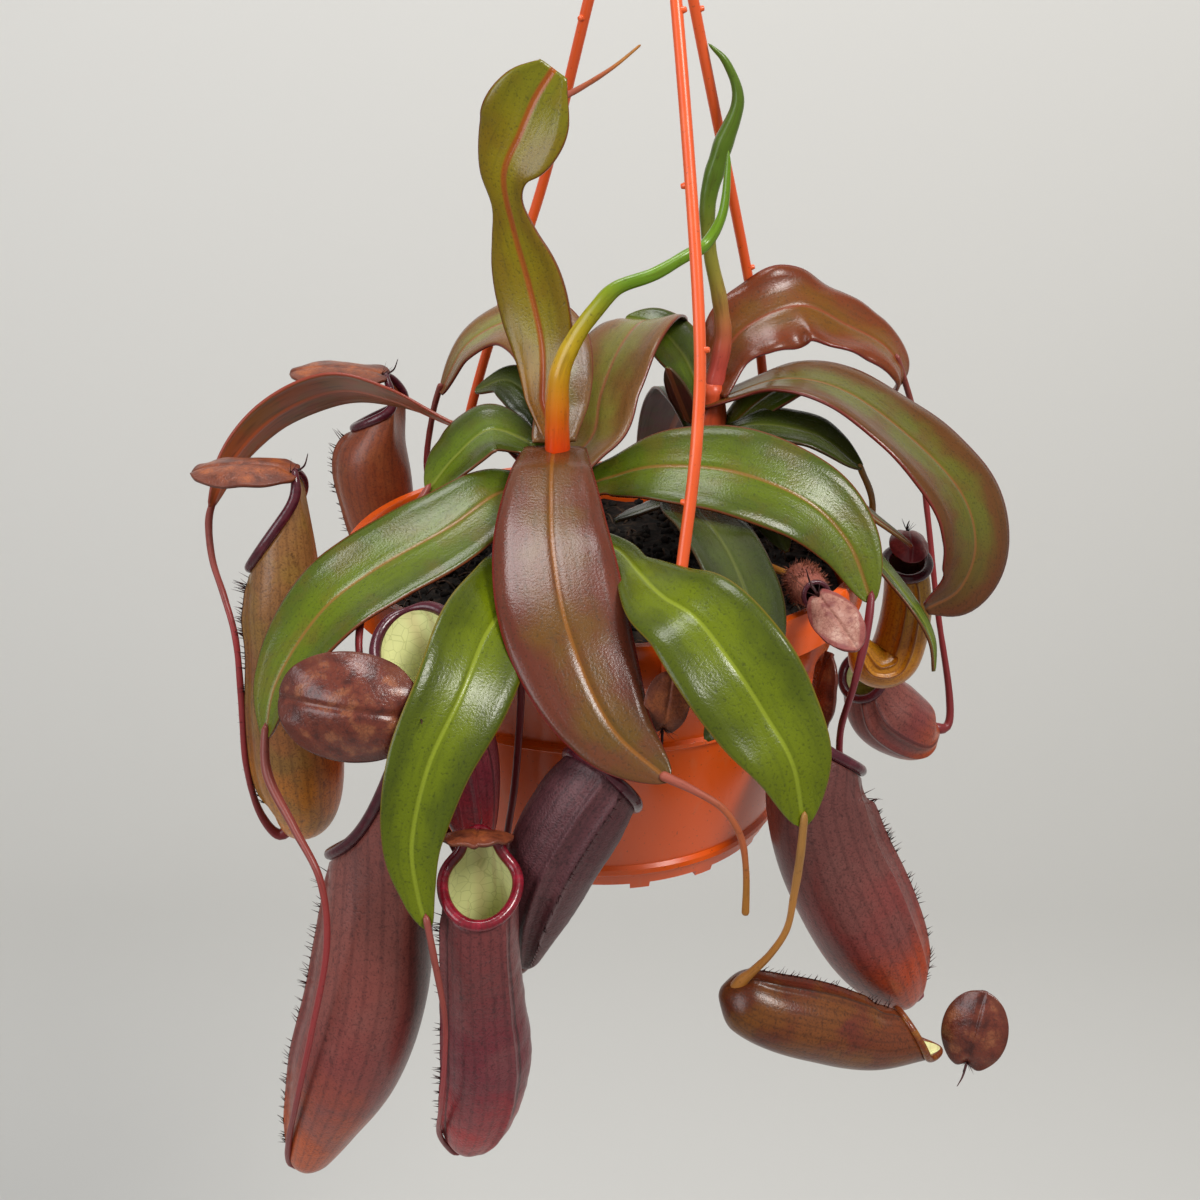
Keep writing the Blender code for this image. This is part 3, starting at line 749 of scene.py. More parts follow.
@dataclass(frozen=True)
class Hair(Finish):
    """Plant hair or root fibre: one dull colour with a darker tip."""

    ground: str = "3C1A1A"
    dark: str = "1E0C0E"

    def pattern(self, tree: Tree) -> tuple[Socket, Socket]:
        """Builds the faint mottle that keeps hairs apart."""
        specks = grain(tree, 1.5, 2)
        return lay_coats(tree, self.ground, (Coat(self.dark, specks, 0.45, 0.6, 0.8),)), specks


# Living leaves, upper sides: green ones, sun-reddened ones and the young standing leaf.
LEAF_GREEN = BladeTop("leaf_green", edge="374210", centre="4A5A0E", base="323F0E", tip="535F12",
                      midrib="6E742C", margin="6A3828", blush="50401C", blush_share=0.2)
LEAF_BRIGHT = BladeTop("leaf_bright_green", edge="404A08", centre="586408", base="34450A",
                       tip="5E680A", midrib="828E26", margin="6A5A1A", blush="48560C",
                       blush_share=0.15)
LEAF_RED_RIB = BladeTop("leaf_green_red_rib", edge="404C10", centre="505E0C", base="38460E",
                        tip="5A6416", midrib="845428", margin="702E20", blush="664C1A",
                        blush_share=0.3)
LEAF_DARK = BladeTop("leaf_dark_green", edge="28300E", centre="3A4414", base="242E0C",
                     tip="404616", midrib="565C28", margin="443020", blush="3C3C1A")
LEAF_BRONZE = BladeTop("leaf_bronze", 0.28, 0.1, edge="53261A", centre="5A3A10", base="583218",
                       tip="4E3A0C", midrib="845016", margin="7A2020", blush="5C2C1C",
                       blush_share=0.5)
LEAF_OLIVE_RED = BladeTop("leaf_olive_red", 0.26, 0.15, edge="543010", centre="545212",
                          base="52381A", tip="542616", midrib="7E4A24", margin="6E2420",
                          blush="5A3814", blush_share=0.4)
LEAF_BROWN = BladeTop("leaf_brown", 0.30, 0.1, edge="652C12", centre="684010", base="5E2C16",
                      tip="763A14", midrib="843C26", margin="6E2620", blush="6E3418",
                      blush_share=0.4)
# The far left leaf's copper: its own orange-brown, made lighter as painted light because that leaf
# sits in shade.
LEAF_COPPER_PAINTED_LIGHT = BladeTop("leaf_copper_painted_light", 0.32, 0.1, edge="8E4826", centre="9C6030", base="7A3C22",
                       tip="924824", midrib="A0583A", margin="7A2E24", blush="8A4A2A",
                       blush_share=0.4)
LEAF_OLIVE = BladeTop("leaf_olive", 0.30, 0.1, edge="6E4A26", centre="726C2C", base="6A4A24",
                      tip="684626", midrib="92503C", margin="6E2E24", blush="704E2A",
                      blush_share=0.4)
LEAF_YELLOW = BladeTop("leaf_young_olive", 0.26, 0.15, edge="746006", centre="827204",
                       base="8E4E0C", tip="64660A", midrib="A22416", margin="6A3018",
                       blush="78560A", blush_share=0.3, rib=1.8)
# Living leaves, lower sides.
UNDER_RED = BladeUnder("leaf_underside_red", 0.42, 0.1, ground="5A2E24", flush="3C481C",
                       midrib="8A4C2E")
UNDER_MAROON = BladeUnder("leaf_underside_maroon", 0.30, 0.25, ground="421A1A", flush="5A2E22",
                          midrib="662C28")
UNDER_GREEN = BladeUnder("leaf_underside_green", 0.42, 0.1, ground="485A28", flush="5E3C2A",
                         midrib="74743A")
UNDER_TAN = BladeUnder("leaf_underside_tan", 0.38, 0.15, ground="8A4828", flush="525A22",
                       flush_share=0.3, midrib="AA5230")

# Rolled young leaves, woody stem, and tendrils, of which the dry one is dead.
ROLLED_NEW = Shoot("rolled_leaf", 0.28, 0.25, start="D23C0A", middle="B08E10", end="5C7E10",
                   turns=(0.16, 0.40))
ROLLED_BACK = Shoot("rolled_back_leaf", 0.32, 0.2, start="B2463A", middle="82782A", end="4C6412",
                    turns=(0.22, 0.46))
STEM_SKIN = Shoot("shoot_stem", 0.38, 0.15, start="3E4A1E", middle="8A4426", end="C04A28")
TENDRIL_RED = Shoot("tendril_red", 0.38, 0.1, start="7A3A32", middle="8A2E30", end="74282A")
TENDRIL_TAN = Shoot("tendril_ochre", 0.42, 0.1, start="8E6430", middle="AE7228", end="966024")
TENDRIL_ROSE = Shoot("tendril_rose", 0.36, 0.1, start="6E262C", middle="7E2430", end="742430")
TENDRIL_BROWN = Shoot("tendril_dry", 0.50, 0.0, start="8A4434", middle="9A502E", end="96601E")

# Pitcher walls, living except the dry one, which is dead and papery.
SKIN_PURPLE = Skin("pitcher_purple", 0.36, 0.15, 0.14, top="683030", middle="66222C",
                   bottom="9C2A2C", fleck="2A1014", bloom="784848", wing_at=0.289)
SKIN_RED = Skin("pitcher_red_foot", 0.34, 0.15, 0.08, top="7A423A", middle="783834",
                bottom="AC4A1C", fleck="34181A", bloom="7E4C46", net=4.5, wing_at=0.089)
SKIN_TAN = Skin("pitcher_olive", 0.36, 0.15, 0.08, top="825830", middle="7E4E2C",
                bottom="BE741E", fleck="3A2012", bloom="826A2A", bloom_share=0.4, net=4.0,
                wing_at=0.078)
SKIN_RUST = Skin("pitcher_rust", 0.38, 0.15, 0.08, top="7A3A20", middle="823E20", bottom="6E3016",
                 fleck="40201A", bloom="8A5230", net=4.0, wing_at=0.078)
SKIN_WINE = Skin("pitcher_wine", 0.34, 0.15, 0.10, top="5E3430", middle="743632", bottom="A8401C",
                 fleck="2E1414", bloom="704640", net=3.5, wing_at=0.21)
SKIN_AMBER = Skin("pitcher_amber", 0.32, 0.15, 0.08, top="643018", middle="5C261C",
                  bottom="4E1E08", fleck="28140A", bloom="8A6210", bloom_share=0.22, net=4.0,
                  wing_at=0.078)
SKIN_OCHRE = Skin("pitcher_ochre", 0.32, 0.15, 0.08, top="B07A1A", middle="AC6A12",
                  bottom="BE7E1A", fleck="6A320E", bloom="C08E1A", bloom_share=0.35, net=4.0,
                  wing_at=0.078)
SKIN_GRAIN = Skin("pitcher_grainy", 0.46, 0.05, 0.22, top="502C30", middle="582E32",
                  bottom="5E2C2E", fleck="1C1014", bloom="70484A", net=2.2, wing_at=0.55)
SKIN_DRY = Skin("pitcher_dry", 0.60, 0.0, 0.20, top="84463A", middle="743A2C", bottom="683028",
                fleck="40201A", bloom="9A6048", wing_at=0.3)
# Inside walls and wet-looking rims of the pitchers. The pale throat's ground is lighter than the
# wall's own cream-green: painted light that stands in for light shining through the thin wall.
THROAT_PAINTED_GLOW = Throat("pitcher_throat_painted_glow", 0.36, 0.15, 0.05, ground="DEE0A0", streak="A86A54",
                streak_share=0.25)
THROAT_DARK = Throat("pitcher_throat_dark", 0.45, 0.1, 0.05, ground="6A3C2C", streak="44201C")
LIP_WINE = Lip("pitcher_rim_wine", 0.22, 0.3, 0.02, ground="441620", bright="56202A")
LIP_CRIMSON = Lip("pitcher_rim_crimson", 0.20, 0.4, 0.015, ground="6A0E1C", bright="8E1E30")
LIP_AMBER = Lip("pitcher_rim_amber", 0.26, 0.2, 0.02, ground="6A3216", bright="94641E")
# Pitcher lids, living except the pale one, which is dry.
LID_TOP = LidSkin("pitcher_lid_red", 0.26, 0.25, 0.12, ground="602C20", mottle="3A1A16",
                  bright="865034", margin="50241A")
LID_UNDER = LidSkin("pitcher_lid_underside", 0.26, 0.35, 0.12, ground="642E22", mottle="3A1A1A",
                    bright="80503A", margin="50241C")
LID_RUST = LidSkin("pitcher_lid_rust", 0.40, 0.1, 0.16, ground="763C24", mottle="4C2418",
                   bright="965028", margin="5A2A1C")
LID_PALE = LidSkin("pitcher_lid_dry", 0.50, 0.05, 0.16, ground="97685A", mottle="6A302C",
                   bright="B89484", margin="782E2E")
LID_ROSE = LidSkin("pitcher_lid_rose", 0.34, 0.2, 0.12, ground="9A3A3C", mottle="7A2A30",
                   bright="B45A50", margin="7A2A30")
# Bristles, hairs and root fibres.
HAIR_DARK = Hair("fringe_hair", 0.5)
HAIR_FOX = Hair("dry_hair", 0.6, ground="763E2A", dark="4A2218")
FIBRE = Hair("root_fibre", 0.7, ground="4A3626", dark="1E1610")
# Glossy polypropylene; the pot is a little redder and deeper than the hanger.
POT_PLASTIC = Plastic("orange_polypropylene_pot", 0.24, 0.0, 0.25, 1.49)
HANGER_PLASTIC = Plastic("orange_polypropylene_hanger", 0.30, 0.0, 0.10, 1.49, ground="D85422",
                         worn="E2703E", dust="8A3A1E")
# Damp peat.
DAMP_PEAT = Peat("damp_peat", 0.85, 0.0, 0.8)


# ---------------------------------------------------------------- pot, hanger and peat


@dataclass
class Pot:
    """The moulded pot, sizes in millimetres."""

    rim_radius: float = 70.0
    band: float = 11.0
    height: float = 80.0
    foot_radius: float = 47.5
    wall: float = 1.8
    slots: int = 16
    turning_steps: int = 128

    # Heights and radii of the inside, from the floor up.
    INSIDE = ((-76.0, 44.5), (-32.5, 57.8), (-12.5, 64.4), (-1.0, 66.5))

    def inside(self, height: float) -> float:
        """Returns the radius of the inside at a height."""
        heights, radii = zip(*self.INSIDE)
        return float(np.interp(height, heights, radii))

    def profile(self) -> list[tuple[float, float]]:
        """Returns radius and height from the inner floor, over the rim, to the underside."""
        rim, band = self.rim_radius, self.band
        inside = [(0, self.INSIDE[0][0])] + [(radius, height) for height, radius in self.INSIDE]
        edge = [(67.4, 0), (rim - 0.3, 0), (rim + 0.4, -1.2), (rim + 0.5, -band / 2),
                (rim + 0.2, -band + 0.6), (rim - 0.6, -band), (67.4, -band)]
        wall = [(self.inside(-12.5) + self.wall, -12.5), (60.0, -30.8), (60.9, -31.6),
                (60.9, -32.6), (59.5, -33.6), (49.6, -71.6), (50.4, -72.6), (50.4, -74.0),
                (49.0, -75.2)]
        foot = [(self.foot_radius, -self.height), (self.foot_radius - 3.5, -self.height),
                (self.foot_radius - 4.5, -self.height + 2), (0, -self.height + 2)]
        return inside + edge + wall + foot

    def slot_blocks(self) -> bpy.types.Object:
        """Makes the ring of blocks that cuts the drain slots, on the stage and out of sight."""
        bm = bmesh.new()
        spacing = math.tau / self.slots
        size = Matrix.Diagonal((8 * MM, spacing * self.foot_radius * 0.72 * MM, 3.4 * MM, 1))
        for i in range(self.slots):
            place = Matrix.Translation(from_rim((0, 0, -self.height)))
            turn = Matrix.Rotation(i * spacing, 4, "Z")
            out = Matrix.Translation((self.foot_radius * MM, 0, 0))
            bmesh.ops.create_cube(bm, size=1, matrix=place @ turn @ out @ size)
        blocks = new_object("slot_blocks", bm)
        blocks.hide_render = True
        return blocks

    def build(self) -> None:
        """Turns the profile about the pot's axis, cuts the slots and rounds the edges."""
        bm = turned(self.profile(), self.turning_steps)
        pot = add_piece("pot_shell", bm, [POT_PLASTIC], Slot.PLASTIC, ("pot",))
        blocks = self.slot_blocks()
        cut = pot.modifiers.new("slots", "BOOLEAN")
        cut.operation = "DIFFERENCE"
        cut.object = blocks
        round_edges(pot, 0.45)
        apply_modifiers(pot)
        bpy.data.objects.remove(blocks, do_unlink=True)


@dataclass
class Hanger:
    """The moulded hanger: hook, hub, three rods and their clips, sizes in millimetres."""

    pot: Pot
    hub: Point = (10.0, 5.0, 190.0)
    hook_inside: float = 9.0
    hook_rod: float = 2.0
    arm_rod: float = 1.4
    clip_width: float = 5.2

    def arms(self) -> dict[float, tuple[Point, ...]]:
        """Returns each rod's centreline by the azimuth of its clip."""
        return {
            -77.4: ((15.2, -68.2, 1.2), (18, -61, 19), (21, -54, 47), (21, -45, 75),
                    (16, -20, 137), self.hub),
            45.5: ((48.1, 49.0, 1.2), (47, 47, 26), (41, 42, 60), (22, 18, 136), self.hub),
            131.0: ((-45.0, 51.8, 1.2), (-34, 45, 40), (-17, 34, 88), (-4, 16, 136), self.hub),
        }

    def hook(self) -> tuple[Point, ...]:
        """Returns the hook's centreline: a cranked shank and an arc over the bearing point."""
        x, y, top = HOOK_OVER_RIM
        radius = self.hook_inside + self.hook_rod
        centre = top - self.hook_inside
        shank = ((x, y, self.hub[2] + 2), (x - 1, y, self.hub[2] + 10),
                 (x - radius + 1, y, centre - 10))
        arc = tuple((x - radius * math.cos(a), y, centre + radius * math.sin(a))
                    for a in np.linspace(0, math.radians(205), 9))
        return shank + arc

    def clip(self, azimuth: float) -> Mesh:
        """Makes the U that hooks over the rim at an azimuth, with a thumb rib."""
        outside, inside, foot = self.pot.rim_radius + 0.8, 64.9, -self.pot.band
        outline = ((outside, foot), (outside + 1.4, foot), (outside + 1.4, 2.2),
                   (inside - 1.3, 2.2), (inside - 1.3, -7), (inside, -7), (inside, 0.5),
                   (outside, 0.5))
        turn = Matrix.Rotation(math.radians(azimuth), 4, "Z")
        bm = bmesh.new()
        half = self.clip_width / 2
        face = bm.faces.new([bm.verts.new((r * MM, -half * MM, z * MM)) for r, z in outline])
        grown = bmesh.ops.extrude_face_region(bm, geom=[face])["geom"]
        bmesh.ops.translate(bm, vec=(0, self.clip_width * MM, 0),
                            verts=[g for g in grown if isinstance(g, bmesh.types.BMVert)])
        bmesh.ops.recalc_face_normals(bm, faces=bm.faces)
        soften(bm, bm.edges[:], 0.3, clamp=True)
        for height in (-9.4, -7.6, -5.8):
            size = Matrix.Diagonal((0.9 * MM, 3.8 * MM, 0.7 * MM, 1))
            rib = bmesh.ops.create_cube(bm, size=1, matrix=Matrix.Translation(
                ((outside + 1.5) * MM, 0, height * MM)) @ size)
            soften(bm, edges_of(rib), 0.2)
        bmesh.ops.transform(bm, matrix=Matrix.Translation(from_rim((0, 0, 0))) @ turn,
                            verts=bm.verts)
        return bm

    def nubs(self, points: tuple[Point, ...]) -> Mesh:
        """Makes the moulding's small nubs where its runners were cut from a rod."""
        bm = bmesh.new()
        spine = Spine(points)
        for number, t in enumerate((0.16, 0.34, 0.52, 0.70)):
            place, _, side, _ = spine.at(t)
            way = side if number % 2 else -side
            turn = way.to_track_quat("Z", "Y").to_matrix().to_4x4()
            centre = Matrix.Translation(place + way * (self.arm_rod + 0.2) * MM)
            nub = bmesh.ops.create_cone(bm, cap_ends=True, segments=12, radius1=0.95 * MM,
                                        radius2=0.6 * MM, depth=1.4 * MM, matrix=centre @ turn)
            soften(bm, edges_of(nub), 0.15)
        return bm

    def hub_block(self) -> Mesh:
        """Makes the tapered hub that the rods and the shank run into."""
        bm = bmesh.new()
        bmesh.ops.create_cone(bm, cap_ends=True, segments=40, radius1=5.2 * MM, radius2=3.4 * MM,
                              depth=9 * MM, matrix=Matrix.Translation(from_rim(self.hub)))
        rings = [edge for edge in bm.edges if edge.calc_face_angle(0) > 0.6]
        soften(bm, rings, 0.8, 4)
        return bm

    def build(self) -> None:
        """Makes the whole hanger as one moulded piece."""
        bm = self.hub_block()
        merge(bm, tube(self.hook(), (self.hook_rod,), 110, 24))
        for azimuth, points in self.arms().items():
            merge(bm, tube(points, (self.arm_rod,), 120, 20))
            merge(bm, self.nubs(points))
            merge(bm, self.clip(azimuth))
        add_piece("hanger_moulding", bm, [HANGER_PLASTIC], Slot.PLASTIC, ("hanger",))


@dataclass
class PeatFill:
    """The peat: a crumbly crown with loose crumbs and root fibres, sizes in millimetres.

    depth is from the rim to the middle of the crown, which falls off by sag towards the pot.
    """

    depth: float = 9.0
    sag: float = 1.6
    crumbs: int = 1100
    fibres: int = 170
    gap: float = 0.3
    seed: int = 7

    BOTTOM = -75.0

    def level(self, radius: float) -> float:
        """Returns the height of the crown at a radius."""
        return -self.depth - self.sag * (radius / 60) ** 2

    def crown(self, pot: Pot) -> Mesh:
        """Makes the body of peat, with an uneven top."""
        rings = [(radius, self.level(radius)) for radius in np.linspace(0, 63.6, 40)]
        side = [(pot.inside(height) - self.gap, height) for height in (-14, -32.5, self.BOTTOM)]
        bm = turned(rings + side + [(0, self.BOTTOM)], 120)
        top = from_rim((0, 0, -12.5)).z
        for vert in bm.verts:
            if vert.co.z > top:
                lump = noise.noise(vert.co * per_mm(4)) + 0.5 * noise.noise(vert.co * per_mm(1.7))
                vert.co.z += 1.1 * lump * MM
        return bm

    def build(self, pot: Pot) -> None:
        """Makes the peat and strews crumbs and fibres on it."""
        draw = random.Random(self.seed)
        bm = self.crown(pot)
        for _ in range(self.crumbs):
            radius, angle = 63 * math.sqrt(draw.random()), draw.uniform(0, math.tau)
            place = from_rim((radius * math.cos(angle), radius * math.sin(angle),
                              self.level(radius) + draw.uniform(0, 0.9)))
            size = draw.choice((0.6, 0.8, 0.9, 1.2, 1.7)) * MM
            squash = Matrix.Diagonal((size * draw.uniform(0.7, 1.5), size, size * 0.7, 1))
            turn = Matrix.Rotation(draw.uniform(0, math.tau), 4, (draw.random(), 0.4, 1))
            bmesh.ops.create_icosphere(bm, subdivisions=1, radius=1,
                                       matrix=Matrix.Translation(place) @ turn @ squash)
        count = set_finish(bm, 0)
        for _ in range(self.fibres):
            radius, angle = 61 * math.sqrt(draw.random()), draw.uniform(0, math.tau)
            x, y, z = radius * math.cos(angle), radius * math.sin(angle), -self.depth + 0.2
            reach = draw.uniform(2, 6)
            way = draw.uniform(0, math.tau)
            dx, dy = reach * math.cos(way), reach * math.sin(way)
            points = ((x - dx, y - dy, z - 1.2), (x, y, z + draw.uniform(0.3, 1.8)),
                      (x + dx, y + dy, z - draw.uniform(0.2, 1.4)))
            merge(bm, tube(points, (draw.uniform(0.13, 0.3),), 6, 5))
        set_finish(bm, 1, count)
        add_piece("peat_fill", bm, [DAMP_PEAT, FIBRE], Slot.PEAT, ("soil",))


# ---------------------------------------------------------------- leaves


# Where the two shoots stand, in X and Y.
SHOOT_AXES = ((-12.8, -15.0), (29.0, 19.5))


@dataclass(frozen=True)
class Blade:
    """A strap leaf, sizes in millimetres.

    half_width is half its greatest width, rolls turn it about its midrib at even steps, points
    run along its midrib, belly is where it is widest and neck how far its narrow base reaches,
    both as shares of its length. cup lifts its margins and wave ripples them, as shares of its
    half width. base is the foot's share of the width, and outline gives shares of the width at
    even steps in place of belly, neck and base. loose is for a blade with no CAD node.
    """

    half_width: float
    rolls: tuple[float, ...]
    points: tuple[Point, ...]
    top: BladeTop = LEAF_GREEN
    under: BladeUnder = UNDER_RED
    slot: Slot = Slot.GREEN
    belly: float = 0.45
    neck: float = 0.0
    cup: float = 0.12
    wave: float = 0.05
    base: float = 0.28
    outline: tuple[float, ...] = ()
    loose: bool = False

    ROWS = 96
    COLUMNS = 26
    TIP = 0.06
    FOOT = 0.09
    THICKNESS = 0.75
    EDGE_DROP = 0.06
    GROOVE = 0.26
    GROOVE_HALF_WIDTH = 0.6

    def half_at(self, t: float) -> float:
        """Returns half the width at t, 0 to 1, in millimetres."""
        if self.outline:
            share = smooth_value(np.linspace(0, 1, len(self.outline)), self.outline, t)
        elif t < self.belly:
            rise = max(0.0, (t - self.neck) / (self.belly - self.neck))
            share = self.base + (1 - self.base) * math.sin(math.pi / 2 * rise)
        else:
            fall = math.cos(math.pi / 2 * (t - self.belly) / (1 - self.belly))
            share = self.TIP + (1 - self.TIP) * max(fall, 0.0) ** 0.7
        return self.half_width * share

    def off_middle(self, across: float) -> float:
        """Turns a share of the grid into -1 to 1, with more columns near the midrib."""
        centred = 2 * across - 1
        return math.copysign(abs(centred) ** 1.25, centred)

    def to_shoot(self) -> Vector:
        """Returns how far the blade's foot is drawn back into the shoot that it grows from."""
        x, y, z = self.points[0]
        near = min(SHOOT_AXES, key=lambda axis: math.dist(axis, (x, y)))
        return (Vector((*near, z - 2.5)) - Vector((x, y, z))) * MM

    def size_map(self, length: float) -> Callable[[float, float], tuple[float, float]]:
        """Returns what gives a corner's distance along and off the midrib, in decimetres."""
        return lambda u, v: (u * length / 100, self.off_middle(v) * self.half_at(u) / 100)

    def build(self, name: str) -> None:
        """Bends a grid along the midrib and gives it its thickness."""
        spine = Spine(self.points)
        steps = np.linspace(0, 1, len(self.rolls))
        back = self.to_shoot()

        def place(along: float, across: float) -> Vector:
            """Returns where a vertex of the blade goes."""
            spot, _, side, up = spine.at(along)
            roll = math.radians(smooth_value(steps, self.rolls, along))
            side, up = (side * math.cos(roll) + up * math.sin(roll),
                        up * math.cos(roll) - side * math.sin(roll))
            a, half = self.off_middle(across), self.half_at(along)
            ripple = noise.noise(Vector((along * 7, a * 1.2, self.points[0][0])))
            lift = self.cup * half * a * a + self.wave * half * a * a * ripple
            lift -= self.EDGE_DROP * half * smooth_between(0.8, 1.0, abs(a))
            lift -= self.GROOVE * math.exp(-(a * half / self.GROOVE_HALF_WIDTH) ** 2)
            spot = spot + back * (1 - smooth_between(0.0, self.FOOT, along))
            return spot + (side * a * half + up * lift) * MM

        bm = grid(self.ROWS, self.COLUMNS, {SHARE: lambda u, v: (u, (self.off_middle(v) + 1) / 2),
                                            SIZE: self.size_map(spine.length)})
        bend(bm, place)
        bmesh.ops.reverse_faces(bm, faces=bm.faces)
        replaced = () if self.loose else ("leaf_" + name,)
        made = add_piece("blade_" + name, bm, [self.top, self.under], self.slot, replaced)
        thicken(made, self.THICKNESS)


BLADES = {
    "front_centre": Blade(15, (0, 0, -5), (
        (-13, -20.5, 34), (-13, -38, 26), (-12, -55, 17), (-8, -72, 4), (1, -85, -12),
        (14, -94, -21)), LEAF_BRONZE, UNDER_MAROON, Slot.BROWN, belly=0.5, cup=-0.04, base=0.55),
    "front_right": Blade(13, (-10, -28, -35), (
        (-7.5, -18, 9), (-2, -28, 11), (4, -42, 13), (8, -58, 14), (13, -71, 13.5),
        (20, -80, 12), (28, -88, 4), (35, -92, -6), (41, -96, -16), (44, -97, -31)),
        LEAF_BRIGHT, UNDER_GREEN, belly=0.68, neck=0.3),
    "upper_right": Blade(13, (-15, -26, -30, -55), (
        (-7.6, -14.5, 20), (1, -12, 22), (13, -18, 27), (32, -22, 27), (50, -26, 21),
        (61, -30, 11), (67, -36, -3)), LEAF_RED_RIB, UNDER_MAROON, belly=0.5),
    "left": Blade(13.5, (30, 12, 0), (
        (-17.8, -18, 22), (-27, -28, 23), (-38, -38, 18), (-55, -48, 11), (-67, -58, 4),
        (-77, -66, -10), (-80, -71, -23)), LEAF_RED_RIB, belly=0.5, base=0.4),
    "front_left": Blade(11.5, (0, 32, 20), (
        (-15, -20.6, 8), (-19, -40, 10), (-22.5, -58, 7.5), (-27.5, -72, 3.5), (-32, -84, -5),
        (-39, -93, -18), (-43, -97, -35), (-42, -99, -48), (-40, -100, -56)),
        LEAF_BRIGHT, UNDER_GREEN, belly=0.4),
    "far_left": Blade(10.5, (0, -38, -45), (
        (-16.5, -10.5, 26), (-26, 2, 30), (-39, 5, 31), (-56, 6, 38), (-71, 8, 40),
        (-87, 6, 34), (-99, 2, 23), (-105, -4, 11)), LEAF_COPPER_PAINTED_LIGHT, UNDER_TAN, Slot.BROWN,
        belly=0.5, base=0.5),
    "standing": Blade(11, (0, 8, 12, 15, 20, 20, 8, 0), (
        (-16.6, -12, 35), (-15.8, -9, 45), (-16, -6, 56), (-19, -4, 70), (-22.6, -4, 84),
        (-24.6, -6, 97), (-20.4, -8.5, 107), (-16.4, -9.5, 115.5), (-12, -9.5, 122)),
        LEAF_YELLOW, UNDER_GREEN, Slot.OLIVE,
        outline=(0.3, 0.42, 0.6, 0.78, 0.9, 0.92, 0.82, 0.6, 0.42, 0.62, 0.9, 1.0, 0.82, 0.35)),
    "back_left": Blade(11, (0, 10, 30), (
        (-10.6, -10, 35), (-12, 2, 46), (-16, 14, 53), (-25, 23, 55), (-38, 29, 47),
        (-46, 29, 33)), LEAF_OLIVE, UNDER_MAROON, Slot.BROWN, base=0.5),
    "mid_left": Blade(11, (30, 12, 20), (
        (-17.7, -12, 31), (-29, -12, 35), (-38, -16, 29), (-45, -20, 21))),
    # This leaf's finish is lighter than its own colour: painted light on a leaf that sits in shade.
    "centre_back": Blade(13, (0, 10, 10), (
        (-10, -10.2, 25), (-3, 0, 30), (-1, 10, 38), (4, 20, 48), (10, 30, 53), (16, 42, 50),
        (20, 52, 40)), LEAF_OLIVE, UNDER_MAROON, Slot.BROWN, base=0.5),
    "small_left": Blade(7, (10, 15, 25), (
        (-13.5, -9.6, 31), (-18, 1, 38), (-26, 10, 42), (-35, 14, 38)), LEAF_DARK),
    "back_right": Blade(12, (-15, -35, -25, -10), (
        (30, 24.8, 39), (38, 29, 51), (54, 33, 57), (68, 35, 51), (79, 35, 45), (84, 34, 37),
        (81, 35, 29)), LEAF_BROWN, UNDER_TAN, Slot.BROWN, wave=0.3,
        outline=(0.5, 0.75, 0.95, 1.05, 1.0, 0.95, 0.9, 0.85, 0.6, 0.15)),
    "right_arch": Blade(15, (-8, -12, -35), (
        (34.6, 19, 36), (49, 12, 42), (64, 6, 40), (81, 0, 29), (94, -6, 16), (98, -11, 3),
        (94, -15, -8), (85, -17, -13)), LEAF_OLIVE_RED, UNDER_MAROON, Slot.OLIVE,
        outline=(0.35, 0.55, 0.72, 0.85, 0.95, 1.0, 1.0, 0.97, 0.85, 0.6, 0.12)),
    "right_under": Blade(9, (-25, -15, -20), (
        (32, 15.2, 26), (41, 6, 31), (56, 0, 30), (68, -4, 22)), LEAF_DARK),
    "lower_right": Blade(6, (0, 15, 20), (
        (31, 14.2, 8), (45, 4, 12), (59, -8, 9), (69, -15, 3), (79, -26, -7), (84, -31, -15),
        (85, -34, -23)), base=0.6),
    "olive_right": Blade(5, (0, 10, 10), (
        (32.6, 15.5, 17), (48, 4, 19), (64, -4, 14), (73, -6, 8), (82, -9, 2)),
        LEAF_YELLOW, slot=Slot.OLIVE, base=0.5),
    "beside_arm": Blade(10, (0, 10, 0), (
        (26, 13.5, 17), (24, -5, 19), (23, -22, 17), (27, -34, 16), (31, -46, 12),
        (34, -60, 6), (33, -74, 0), (28, -80, -9), (23, -81, -18)), LEAF_DARK, UNDER_GREEN),
    "small_back": Blade(4.5, (0, 0, 0), ((23.8, 16, 28), (20, 12, 38), (17, 9, 46)), LEAF_DARK),
    "back_low": Blade(12, (0, 0, 0), (
        (28, 24.9, 20), (27, 40, 28), (26, 58, 26), (22, 74, 12), (18, 83, -6), (15, 87, -22))),
    "back_drop": Blade(12, (0, 0, 5), (
        (-14, -8, 14), (-16, 6, 22), (-16, 26, 28), (-14, 48, 24), (-12, 66, 10), (-10, 76, -8),
        (-8, 81, -26)), LEAF_OLIVE_RED, slot=Slot.OLIVE),
    "low_centre": Blade(6, (0, -15, -10), ((24, 14.6, 8), (15, 2, 10), (3, -8, 9)),
                        LEAF_DARK, slot=Slot.BROWN),
    "inner_back": Blade(8, (0, 10, 15), ((27, 22, 34), (22, 30, 44), (14, 36, 51), (6, 40, 52)),
                        loose=True),
    "inner_right": Blade(8, (-10, -20, -20), (
        (30, 17, 22), (42, 18, 34), (55, 20, 40), (66, 20, 38)), LEAF_RED_RIB, loose=True),
    "inner_low": Blade(7, (0, -15, -25), (
        (28, 14, 10), (36, -2, 15), (42, -16, 14), (46, -28, 8)), LEAF_DARK, slot=Slot.BROWN,
        loose=True),
    "inner_left": Blade(6.5, (20, 15, 10), (
        (-17, -16, 12), (-28, -20, 17), (-38, -24, 14), (-46, -28, 6)), LEAF_DARK, loose=True),
}


# ---------------------------------------------------------------- shoots and tendrils


